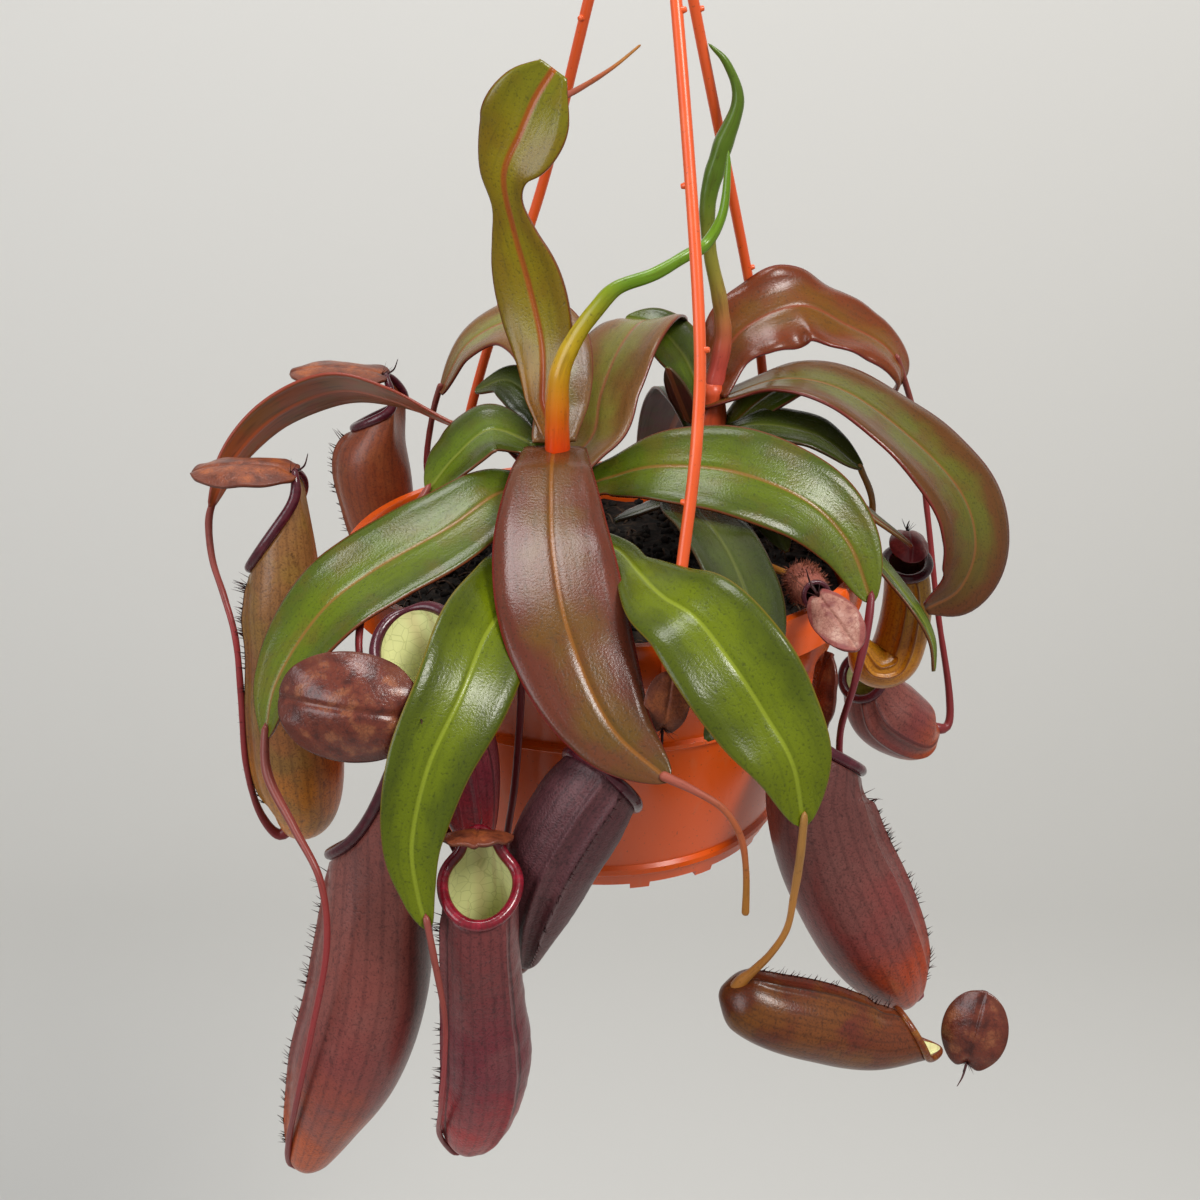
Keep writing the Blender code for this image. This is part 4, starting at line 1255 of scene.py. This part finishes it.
@dataclass(frozen=True)
class Stalk:
    """A round shoot, sizes in millimetres.

    radii are one to each point, rows and sides are its faces along and round it, and lumps is
    how uneven its radius is, as a share.
    """

    radii: tuple[float, ...]
    points: tuple[Point, ...]
    finish: Shoot = TENDRIL_RED
    slot: Slot = Slot.TENDRIL
    rows: int = 90
    sides: int = 16
    lumps: float = 0.08

    def build(self, name: str, *nodes: str) -> None:
        """Makes the shoot as a round-ended tube, in place of the CAD nodes named."""
        bm = tube(self.points, self.radii, self.rows, self.sides, self.lumps)
        add_piece(name, bm, [self.finish], self.slot, nodes)


SHOOTS = {
    "stem_front": Stalk((4.4, 4.6, 4.4, 4.0), (
        (-14, -13, -12), (-13, -14, 5), (-12.5, -15.3, 20), (-12, -16, 32)), STEM_SKIN, Slot.STEM,
        60, 28, 0.12),
    "stem_back": Stalk((4.8, 5.0, 4.4, 3.8), (
        (26, 18, -12), (27, 19, 10), (29, 20, 28), (29.5, 20, 40)), STEM_SKIN, Slot.STEM,
        60, 28, 0.12),
    "leaf_rolled": Stalk((3.4, 3.1, 2.5, 2.2, 2.0, 1.8, 1.6, 1.5, 1.5, 1.2, 0.8, 0.3), (
        (-12, -16, 28), (-12, -17, 39), (-11, -18, 51), (-7, -18, 60), (-2, -18, 67),
        (3, -17, 72), (12, -15, 75), (20, -12, 79), (25, -8, 81), (29, -6, 88), (30, -5, 98),
        (30, -5, 103)), ROLLED_NEW, Slot.NEW, 150, 24, 0.10),
    "leaf_back_new": Stalk((2.8, 2.4, 2.1, 1.8, 2.2, 2.6, 1.6, 1.0, 0.4), (
        (29.5, 20, 36), (32, 20, 50), (31, 20, 61), (28, 20, 74), (27, 20, 87), (30, 20, 100),
        (34, 20, 112), (31, 20, 121), (26, 20, 126)), ROLLED_BACK, Slot.NEW, 130, 24, 0.10),
}

# The dried tip of the standing leaf, which has no CAD node.
STANDING_TIP = Stalk((0.9, 0.7, 0.5, 0.3), (
    (-13, -9, 114), (-6, -2, 117), (2, 8, 121), (9, 14, 126)), TENDRIL_BROWN)

TENDRILS = {
    "far_left": Stalk((0.8, 1.0, 0.9, 0.85, 0.85, 0.9, 0.9, 1.0, 1.5, 2.4), (
        (-103.5, -2, 14), (-105, -6, 8), (-103, -14, 0), (-99, -21, -8), (-96, -25.5, -18),
        (-95.4, -28, -34), (-95.6, -29, -52), (-94, -27, -68), (-89.5, -25, -77),
        (-84, -24, -72))),
    "left": Stalk((0.9, 1.2, 1.0, 0.85, 0.8, 0.75, 0.75, 0.8, 1.1, 2.4), (
        (-79.6, -70, -19), (-79, -75, -30), (-72, -83, -40), (-65.5, -90, -50),
        (-65, -92, -67), (-70.5, -91, -92), (-76, -88, -114), (-81, -81, -134),
        (-82.5, -75.5, -146), (-78, -74, -147))),
    "front_left": Stalk((0.8, 0.8, 0.65, 0.6, 0.6, 0.65, 0.8, 1.2, 2.2), (
        (-40.5, -99.5, -52), (-38.5, -103, -62), (-36.5, -105.5, -76), (-37.2, -104.5, -90),
        (-39, -100, -106), (-41, -91, -122), (-39.8, -86, -131), (-37.5, -84, -134.5),
        (-35, -84, -129))),
    "front_right": Stalk((0.8, 1.0, 0.85, 0.8, 0.9, 1.1, 1.6, 2.6), (
        (44, -97, -27), (43.5, -97.5, -38), (43, -95, -50), (42.4, -91, -62),
        (39.4, -87.5, -71.5), (35.5, -85, -78.5), (33, -83.5, -82.5), (32, -82, -87)), TENDRIL_TAN),
    "upper_right": Stalk((0.9, 1.1, 0.9, 0.9, 0.9, 0.9, 0.9, 1.0, 1.4, 2.4), (
        (67, -35, 0), (65.5, -40, -9), (62.5, -44, -22), (60.5, -40, -38), (63, -36, -56),
        (69, -36, -74), (76, -39, -91), (82, -46, -104), (84.5, -51, -111),
        (80, -53, -108)), TENDRIL_ROSE),
    "dry": Stalk((1.2, 0.9, 0.8, 0.8, 0.75, 0.9), (
        (12, -93, -20), (20, -96.5, -22.4), (26, -98, -26), (30, -98, -33), (31.5, -98, -42),
        (32, -96, -55)), TENDRIL_BROWN),
    "back_left": Stalk((0.9, 0.9, 0.9, 0.9, 0.9, 1.1, 2.0), (
        (-45.5, 29, 36), (-49, 36, 25), (-53, 50, 6), (-53, 57, -10), (-57, 56, -26),
        (-62, 50, -34), (-65, 47, -29))),
    "inner_left": Stalk((0.9, 0.9, 0.9, 0.9, 0.9, 0.9, 1.0, 1.3, 2.2), (
        (-44, -19.5, 23), (-52, -30, 12), (-57, -44, 4), (-58, -56, 1), (-57, -64, -8),
        (-50, -65, -26), (-42, -65, -44), (-35, -67, -58), (-31.5, -69, -52))),
    "centre": Stalk((2.2, 1.2, 0.9, 0.9, 0.9, 0.9, 0.9), (
        (-19.5, -74, -83), (-22, -70, -88), (-26.5, -64, -78), (-25, -62, -60),
        (-22, -65, -40), (-20, -68.5, -20), (-19, -73, -5))),
    "coiled": Stalk((0.9, 0.9, 0.9, 0.9, 2.0), (
        (67, -4, 23), (73, 5, 8), (71, 4, -10), (68.5, 0.5, -23), (70.5, 0.8, -31)), TENDRIL_TAN),
    "back_right": Stalk((0.9, 0.9, 0.9, 0.9, 1.1, 1.4, 2.2), (
        (82, 35, 43), (90, 40, 22), (97, 46, -8), (103, 47, -40), (108, 43, -66),
        (108, 40, -77), (102, 38, -77))),
    "dried": Stalk((0.9, 0.8, 0.8, 1.0, 1.6), (
        (28, 14, 1), (34, -5, 4), (39, -24, 4), (45.6, -37, 5), (47.7, -41, 5.8)), TENDRIL_BROWN),
}


# ---------------------------------------------------------------- pitchers


@dataclass(frozen=True)
class Trap:
    """A hollow pitcher, sizes in millimetres, from its closed bottom to its mouth.

    front is the way its mouth dips, by dip times its radius. radii and points run along it.
    hinge is where its lid joins, and the mouth's back is drawn up to it. wings are the angles of
    its wing ridges from the front, in degrees, and fringed are those that carry hairs.
    lip_radius is half the rim's thickness, wrinkle how creased its wall is and pinch how far the
    mouth's back narrows to a drop, both as shares. fuzz counts a dried pitcher's hairs.
    """

    front: Point
    dip: float
    radii: tuple[float, ...]
    points: tuple[Point, ...]
    skin: Skin
    lip: Lip = LIP_WINE
    throat: Throat = THROAT_PAINTED_GLOW
    slot: Slot = Slot.PURPLE
    hinge: Point | None = None
    wings: tuple[float, ...] = (-14, 14)
    fringed: tuple[float, ...] = ()
    lip_radius: float = 1.4
    wrinkle: float = 0.0
    pinch: float = 0.0
    fuzz: int = 0
    seed: int = 1

    ROWS = 124
    SIDES = 132
    OUTER = 0.62
    LIP = 0.80
    WALL = 0.9
    RIDGE = 1.1
    RIDGE_SPREAD = 0.075
    DIP_FROM = 0.62
    DRAW_FROM = 0.6
    PINCH_FROM = 0.85
    PINCH_AT = 2.45
    LIP_START = -115
    LIP_SWEEP = 325
    LIP_THINNING = 0.45
    HAIR_GAP = 1.35

    def frame_at(self, spine: Spine, t: float, angle: float) -> tuple[Vector, Vector, Vector]:
        """Returns the spine's place, its tangent and the way out at an angle from the front."""
        spot, tangent, _, _ = spine.at(t)
        front = Vector(self.front)
        front = (front - tangent * front.dot(tangent)).normalized()
        return spot, tangent, front * math.cos(angle) + tangent.cross(front) * math.sin(angle)

    def ring(self, spine: Spine, t: float, angle: float, radius: float) -> Vector:
        """Returns a point of the wall at a radius, with the mouth's dip and its drawn-up back."""
        spot, tangent, out = self.frame_at(spine, t, angle)
        lean = smooth_between(self.DIP_FROM, 1.0, t)
        off_sides = abs(math.remainder(angle, math.tau)) - self.PINCH_AT
        narrowed = smooth_between(self.PINCH_FROM, 1.0, t) * math.exp(-(off_sides / 0.5) ** 2)
        radius *= 1 - self.pinch * narrowed
        place = spot + (out * radius - tangent * self.dip * out.dot(Vector(self.front).normalized())
                        * lean * spine.value(self.radii, t)) * MM
        if self.hinge and t > self.DRAW_FROM:
            rise = smooth_between(self.DRAW_FROM, 1.0, t) ** 1.6
            place += self.drawn(spine) * self.pull(angle, spine) * rise
        return place

    def drawn(self, spine: Spine) -> Vector:
        """Returns how far the mouth's back is drawn towards the hinge."""
        spot, tangent, out = self.frame_at(spine, 1.0, math.pi)
        slide = self.dip * -out.dot(Vector(self.front).normalized())
        back = spot + (out + tangent * slide) * self.radii[-1] * MM
        return from_rim(self.hinge) - back

    def pull(self, angle: float, spine: Spine) -> float:
        """Returns the share of the draw that the wall takes at an angle from the front."""
        width = min(0.5 + 12 * self.drawn(spine).length, 1.0)
        return math.exp(-((math.pi - abs(angle)) / width) ** 2)

    def outer_radius(self, spine: Spine, t: float, angle: float) -> float:
        """Returns the outside radius with its wings and wrinkles."""
        radius = spine.value(self.radii, t)
        wing = sum(math.exp(-((angle - math.radians(w)) / self.RIDGE_SPREAD) ** 2)
                   for w in self.wings)
        fade = smooth_between(0.02, 0.2, t) * (1 - smooth_between(0.93, 1.0, t))
        radius += self.RIDGE * wing * fade
        x, y = math.cos(angle), math.sin(angle)
        bumps = noise.noise(Vector((x * 1.6, y * 1.6, t * 4 + self.seed)))
        creases = noise.noise(Vector((x * 2, y * 2, t * 34 + self.seed)))
        radius *= 1 + 0.03 * bumps + self.wrinkle * creases
        return radius * cap(min(t, 0.5), self.radii[0] * 1.6 / spine.length)

    def place(self, spine: Spine, along: float, around: float) -> Vector:
        """Returns where a vertex goes: up the outside, over the lip and down the inside."""
        angle = (2 * around - 1) * math.pi
        if along <= self.OUTER:
            t = self.share_of_length(along)
            return self.ring(spine, t, angle, self.outer_radius(spine, t, angle))
        if along <= self.LIP:
            share = (along - self.OUTER) / (self.LIP - self.OUTER)
            return self.lip_place(spine, share, angle)
        share = (along - self.LIP) / (1 - self.LIP)
        t = 1 - 0.97 * share
        radius = max(spine.value(self.radii, t) - self.WALL, 0.0)
        radius *= cap(min(t, 0.5), self.radii[0] * 2 / spine.length) if share < 0.999 else 0.0
        return self.ring(spine, t, angle, radius)

    def lip_place(self, spine: Spine, share: float, angle: float) -> Vector:
        """Returns a point of the rolled lip, from the outer wall over to the inner."""
        turn = math.radians(self.LIP_START + self.LIP_SWEEP * share)
        thinning = self.LIP_THINNING * math.exp(-((math.pi - abs(angle)) / 0.35) ** 2)
        size = self.lip_radius * (1 - thinning)
        middle = self.radii[-1] - self.WALL / 2
        edge = self.ring(spine, 1.0, angle, middle)
        ahead = self.ring(spine, 1.0, angle + 0.03, middle)
        _, tangent, out = self.frame_at(spine, 1.0, angle)
        round_way = (ahead - edge).normalized()
        out = (out - round_way * out.dot(round_way)).normalized()
        rise = round_way.cross(out)
        rise = rise if rise.dot(tangent) > 0 else -rise
        return edge + (out * (math.cos(turn) + 0.25) + rise * (math.sin(turn) + 0.45)) * size * MM

    def share_of_length(self, along: float) -> float:
        """Returns the share of the pitcher's length that a share of the grid stands for."""
        if along <= self.OUTER:
            return (along / self.OUTER) ** 1.1
        if along <= self.LIP:
            return 1.0
        return 1 - (along - self.LIP) / (1 - self.LIP)

    def hairs(self, bm: Mesh, spine: Spine) -> None:
        """Adds the fringe along the wings and the fuzz of a dried pitcher."""
        draw = random.Random(self.seed)
        for wing in self.fringed:
            angle = math.radians(wing)
            for _ in range(int(spine.length / self.HAIR_GAP)):
                t = draw.uniform(0.08, 0.97)
                _, tangent, out = self.frame_at(spine, t, angle)
                root = self.ring(spine, t, angle, self.outer_radius(spine, t, angle) - 0.15)
                way = out + tangent * draw.uniform(0.1, 0.8) + Vector(
                    (draw.uniform(-0.35, 0.35), draw.uniform(-0.35, 0.35), 0))
                add_hair(bm, root, way, draw.uniform(1.3, 2.6) + 1.4 * (t > 0.9), 0.15)
        for _ in range(self.fuzz):
            t, angle = draw.uniform(0.1, 0.8), draw.uniform(-math.pi, math.pi)
            _, _, out = self.frame_at(spine, t, angle)
            root = self.ring(spine, t, angle, self.outer_radius(spine, t, angle) - 0.2)
            way = out + Vector([draw.uniform(-0.5, 0.5) for _ in range(3)])
            add_hair(bm, root, way, draw.uniform(0.9, 1.9), 0.12)

    def build(self, name: str) -> None:
        """Wraps one grid up the outside, over the lip and down the inside."""
        spine = Spine(self.points)
        bm = grid(self.ROWS, self.SIDES, {SHARE: lambda u, v: (self.share_of_length(u), v)})
        for face in bm.faces:
            middle = (face.calc_center_median().x + 1) / 2
            face.material_index = int(middle > self.OUTER) + int(middle > self.LIP)
        bend(bm, lambda u, v: self.place(spine, u, v))
        close_seams(bm)
        count = len(bm.faces)
        self.hairs(bm, spine)
        set_finish(bm, 3, count)
        hair = HAIR_FOX if self.fuzz else HAIR_DARK
        add_piece("trap_" + name, bm, [self.skin, self.lip, self.throat, hair], self.slot,
                  ("pitcher_" + name,))


TRAPS = {
    "far_left": Trap((-1, 0, 0), 1.3, (4.0, 9.2, 11.8, 11, 10, 10.2, 8.4), (
        (-86, -24, -78), (-82, -25, -68), (-82, -26, -55), (-83, -26, -38), (-83, -24, -22),
        (-83, -22, -5), (-83, -20, 11)), SKIN_TAN, slot=Slot.TAN, hinge=(-77.4, -22, 26.5),
        fringed=(-14, 14), seed=1),
    "left": Trap((-0.93, 0.36, 0), 0.5, (4.4, 9.4, 14, 14.7, 13, 11), (
        (-80, -73, -150), (-73, -75, -132), (-65, -76, -112), (-58, -75, -88), (-56, -72, -67),
        (-56, -68, -51)), SKIN_RED, hinge=(-42.6, -80, -12), wings=(30, 8),
        fringed=(30,), seed=2),
    "inner_left": Trap((0.1, -1, 0), 0.6, (2.4, 6.6, 8.8, 9.8, 10), (
        (-31, -68, -57), (-32, -70, -43), (-34, -71, -26), (-39, -70.5, -12), (-43, -70.5, 0)),
        SKIN_PURPLE, slot=Slot.TAN, seed=3),
    "front": Trap((0, -1, 0), 0.7, (4.2, 9.2, 11.0, 10.0, 9.2, 8.8), (
        (-36, -84, -134), (-32, -86, -120), (-29, -88, -102), (-29, -90, -83), (-29, -92, -65),
        (-28.5, -92, -49)), SKIN_PURPLE, LIP_CRIMSON, hinge=(-29, -84.6, -38.6),
        wings=(-64, 40), fringed=(-64,), wrinkle=0.02, pinch=0.24, lip_radius=1.35, seed=4),
    "centre": Trap((0.3, 0.9, -0.2), 0.6, (2.4, 8.6, 11.2, 11.4, 10.2), (
        (-20, -73, -86), (-17, -76, -67), (-12, -79, -50), (-6, -79.5, -38), (-1, -79, -30)),
        SKIN_GRAIN, wings=(-172, -146), fringed=(-146,), wrinkle=0.01, seed=5),
    "right": Trap((0.8, 0.6, 0), 0.48, (4.4, 11.4, 14.2, 14, 13, 10.5), (
        (81, -53, -113), (74, -54, -98), (66, -54, -82), (58, -52, -65), (54, -49, -50),
        (55, -47, -40)), SKIN_WINE, hinge=(52, -54, -33), wings=(-46, -76),
        fringed=(-46,), seed=6),
    "small": Trap((0, 0, 1), 0.8, (4.0, 7.4, 9.0, 9.4, 8.6, 6.5), (
        (28, -82, -86.5), (33, -82, -88.5), (41, -82, -92.5), (52, -80, -97.5), (66, -76, -104.5),
        (78, -72, -107.5)), SKIN_AMBER, LIP_AMBER, slot=Slot.TAN, hinge=(86, -71, -113),
        fringed=(-12,), lip_radius=1.0, seed=7),
    "back_left": Trap((-0.98, 0.18, 0), 1.0, (2.4, 7.6, 10.6, 10.8, 7.5), (
        (-65, 46, -35), (-66, 49, -23), (-68, 51, -8), (-69, 51, 8), (-65, 51, 20)), SKIN_RUST,
        slot=Slot.TAN, hinge=(-63.5, 51, 32), wings=(18, -6),
        fringed=(18,), seed=8),
    "coiled": Trap((0, -1, 0.2), 0.4, (2.4, 6, 7.4, 7, 6), (
        (70, 0.4, -29), (75, 2, -37.5), (82, 5, -37), (85, 7, -24), (84, 7, -10)), SKIN_OCHRE,
        slot=Slot.TAN, throat=THROAT_DARK, seed=9),
    "dried": Trap((0, 0, 1), 0.2, (2.4, 4.4, 4.2, 3.4), (
        (47, -39, 5.6), (48, -44, 6.2), (49, -50, 6.6), (50, -55, 7)), SKIN_DRY,
        throat=THROAT_DARK, slot=Slot.TAN, wings=(), lip_radius=0.6, wrinkle=0.05, fuzz=420,
        seed=10),
    "back_right": Trap((-0.3, -0.9, 0), 0.5, (2.6, 9.5, 11, 7), (
        (105, 38, -79), (97, 36, -77), (86, 33, -68), (79, 31, -56)), SKIN_RED, seed=11),
}


@dataclass(frozen=True)
class Cover:
    """A pitcher's lid, sizes in millimetres.

    top is the way its upper side faces and ahead the way it points. dome is how high its middle
    stands and fold how far it is twisted, both as shares of its half width. spur is the length
    of the spur behind it, and loose is for a lid with no CAD node.
    """

    centre: Point
    top: Point
    ahead: Point
    half_length: float
    half_width: float
    finish: LidSkin = LID_TOP
    under: LidSkin = LID_UNDER
    dome: float = 0.22
    fold: float = 0.0
    spur: float = 7.0
    seed: int = 1
    loose: bool = False

    CELLS = 44
    THICKNESS = 0.9
    BRISTLES = 7

    def axes(self) -> tuple[Vector, Vector, Vector]:
        """Returns the ways along, across and over the lid."""
        top = Vector(self.top).normalized()
        ahead = Vector(self.ahead)
        ahead = (ahead - top * ahead.dot(top)).normalized()
        return ahead, top.cross(ahead), top

    def place(self, along_share: float, across_share: float) -> Vector:
        """Returns where a vertex of the square grid goes on the heart-based oval."""
        ahead, side, top = self.axes()
        u, v = 2 * along_share - 1, 2 * across_share - 1
        along, across = u * math.sqrt(1 - v * v / 2), v * math.sqrt(1 - u * u / 2)
        out = along ** 2 + across ** 2
        notch = 0.16 * math.exp(-((along + 1) / 0.3) ** 2 - (across / 0.22) ** 2)
        ripple = noise.noise(Vector((along * 2.2, across * 2.2, self.seed * 3.7)))
        keel = -0.05 * math.exp(-(across / 0.06) ** 2)
        lift = self.dome * (1 - out) + 0.10 * out * ripple + keel
        lift += self.fold * across * across * along
        return from_rim(self.centre) + (ahead * (along + notch) * self.half_length
                                        + side * across * self.half_width
                                        + top * lift * self.half_width) * MM

    def hinge(self) -> Vector:
        """Returns where the lid joins the pitcher."""
        return self.place(0.03, 0.5)

    def build(self, name: str) -> None:
        """Draws a grid out to the lid, thickens it and adds its keel, spur and bristles."""
        bm = grid(self.CELLS, self.CELLS, {SHARE: lambda u, v: (u, v)})
        bend(bm, self.place)
        bmesh.ops.recalc_face_normals(bm, faces=bm.faces)
        _, _, top = self.axes()
        bm.faces.ensure_lookup_table()
        if bm.faces[0].normal.dot(top) < 0:
            bmesh.ops.reverse_faces(bm, faces=bm.faces)
        replaced = () if self.loose else ("lid_" + name,)
        made = add_piece("cover_" + name, bm, [self.finish, self.under], Slot.LID, replaced)
        thicken(made, self.THICKNESS)
        self.build_spur(name)

    def build_spur(self, name: str) -> None:
        """Makes the hair-like spur behind the hinge and a few bristles beside it."""
        ahead, side, top = self.axes()
        root = self.hinge()
        back = [root - ahead * 0.2 * MM, root + (top * 0.5 - ahead) * self.spur * 0.5 * MM,
                root + (top - ahead * 0.9 + side * 0.1) * self.spur * 0.8 * MM]
        points = tuple(tuple(p / MM + HOOK_OVER_RIM) for p in back)
        bm = tube(points, (0.4, 0.25, 0.1), 14, 8)
        draw = random.Random(self.seed)
        for _ in range(self.BRISTLES):
            way = (top * draw.uniform(0.2, 1) - ahead * draw.uniform(0.1, 0.9)
                   + side * draw.uniform(-0.8, 0.8))
            add_hair(bm, root, way, draw.uniform(2, 4.5), 0.13)
        add_piece("spur_" + name, bm, [HAIR_DARK], Slot.LID)


COVERS = {
    "far_left": Cover((-90, -22, 27), (0, -0.05, 1), (-1, 0, 0.04), 14, 10, LID_RUST, LID_RUST,
                      seed=1),
    "left": Cover((-57, -84, -8), (-0.15, -0.9, 0.35), (-1, 0.05, 0.12), 17, 12.5, dome=0.45,
                  fold=0.3, seed=2),
    "inner_left": Cover((-58, -76.5, -5), (0, -0.3, 1), (-1, 0, 0), 8, 5, seed=3),
    "front": Cover((-29, -91, -37.5), (0, 0.39, 0.92), (0, -0.92, 0.39), 9, 8.4, LID_RUST,
                   seed=4, spur=4),
    "centre": Cover((14, -80, -9), (0.2, -0.95, 0.2), (0.2, 0, 1), 7.5, 5.5, LID_RUST, seed=5),
    "right": Cover((55, -42, -25), (-0.95, -0.25, 0.1), (0.1, 0, 1), 11, 7, seed=6),
    "small": Cover((95, -70, -108), (-0.35, -0.85, 0.25), (0.15, 0.1, 1), 11, 8.4, seed=7),
    "back_left": Cover((-77, 51, 33), (0.05, -0.1, 1), (-1, 0, 0), 15, 10, LID_RUST, LID_RUST,
                       seed=8),
    "dried": Cover((53, -67, 6), (-0.3, -0.5, 0.8), (0.35, -0.8, -0.3), 10, 5.5, LID_PALE,
                   LID_PALE, fold=0.5, seed=9),
    "coiled": Cover((83.5, 4, -3), (0.1, -0.5, 0.85), (0, -1, -0.4), 6, 5.5, LID_ROSE, dome=0.6,
                    seed=10, spur=3, loose=True),
}


# ---------------------------------------------------------------- studio


@dataclass
class Studio:
    """The camera, the lights and the pale sweep behind the plant, in metres."""

    camera_at: Point = (-0.01114, -0.4005, -0.0853)
    aim: Point = (0, 0, -0.24)
    pitch: float = 0.4
    lens: float = 46.785
    floor: float = -1.15
    wall: float = 0.65
    bend_radius: float = 0.35
    reach: float = 3.0
    half_span: float = 3.5

    def add_camera(self) -> None:
        """Adds the camera that looks down on the plant from the front."""
        data = bpy.data.cameras.new("camera")
        data.lens = self.lens
        data.sensor_width = 36
        data.clip_start = 0.01
        camera = bpy.data.objects.new("camera", data)
        camera.location = self.camera_at
        camera.rotation_euler = (math.pi / 2 - self.pitch, 0, 0)
        bpy.context.scene.collection.objects.link(camera)
        bpy.context.scene.camera = camera

    def add_light(self, name: str, place: Point, size: float, power: float, colour: str) -> None:
        """Adds a square soft light that faces the plant."""
        data = bpy.data.lights.new(name, "AREA")
        data.size = size
        data.energy = power
        data.color = linear(colour)[:3]
        lamp = bpy.data.objects.new(name, data)
        lamp.location = place
        way = Vector(self.aim) - Vector(place)
        lamp.rotation_euler = way.to_track_quat("-Z", "Y").to_euler()
        bpy.context.scene.collection.objects.link(lamp)

    def add_sweep(self) -> None:
        """Adds the floor that curves up into a wall well behind the plant."""
        bm = bmesh.new()
        foot = self.wall - self.bend_radius
        line = [(-self.reach, self.floor), (foot, self.floor)]
        line += [(foot + self.bend_radius * math.sin(a),
                  self.floor + self.bend_radius * (1 - math.cos(a)))
                 for a in np.linspace(0.1, math.pi / 2, 14)]
        line.append((self.wall, self.reach))
        verts = [bm.verts.new((-self.half_span, y, z)) for y, z in line]
        edges = [bm.edges.new(pair) for pair in zip(verts, verts[1:])]
        grown = bmesh.ops.extrude_edge_only(bm, edges=edges)["geom"]
        bmesh.ops.translate(bm, vec=(2 * self.half_span, 0, 0),
                            verts=[g for g in grown if isinstance(g, bmesh.types.BMVert)])
        sweep = new_object("sweep", bm)
        sweep.data.shade_smooth()
        paint = bpy.data.materials.new("pale_paint")
        paint.use_nodes = True
        surface = paint.node_tree.nodes["Principled BSDF"]
        surface.inputs["Base Color"].default_value = linear("CAC9C5")
        surface.inputs["Roughness"].default_value = 0.7
        sweep.data.materials.append(paint)

    def build(self) -> None:
        """Sets up the camera, the light and the sweep."""
        self.add_camera()
        self.add_sweep()
        self.add_light("key", (0.6, -0.75, 0.8), 0.4, 17, "FFFCF8")
        self.add_light("overhead", (-0.15, 0.05, 1.0), 0.45, 8.5, "FFFFFF")
        self.add_light("fill", (-0.9, -0.7, 0.1), 0.7, 7, "F8FAFF")
        world = bpy.context.scene.world or bpy.data.worlds.new("room")
        bpy.context.scene.world = world
        world.use_nodes = True
        ground = world.node_tree.nodes["Background"]
        ground.inputs["Color"].default_value = linear("F2F2F2")
        ground.inputs["Strength"].default_value = 0.48
        bpy.context.scene.view_settings.view_transform = "Standard"


def main() -> None:
    """Builds the studio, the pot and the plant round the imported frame."""
    logging.basicConfig(level=logging.INFO, format="%(message)s")
    for thing in list(bpy.data.objects):
        bpy.data.objects.remove(thing, do_unlink=True)
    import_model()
    Studio().build()
    pot = Pot()
    pot.build()
    PeatFill().build(pot)
    Hanger(pot).build()
    for name, blade in BLADES.items():
        blade.build(name)
    for name, shoot in SHOOTS.items():
        shoot.build("shoot_" + name, name)
    STANDING_TIP.build("twine_standing")
    for name, tendril in TENDRILS.items():
        tendril.build("twine_" + name, "tendril_" + name)
    for name, trap in TRAPS.items():
        trap.build(name)
    for name, cover in COVERS.items():
        cover.build(name)


if __name__ == "__main__":
    main()
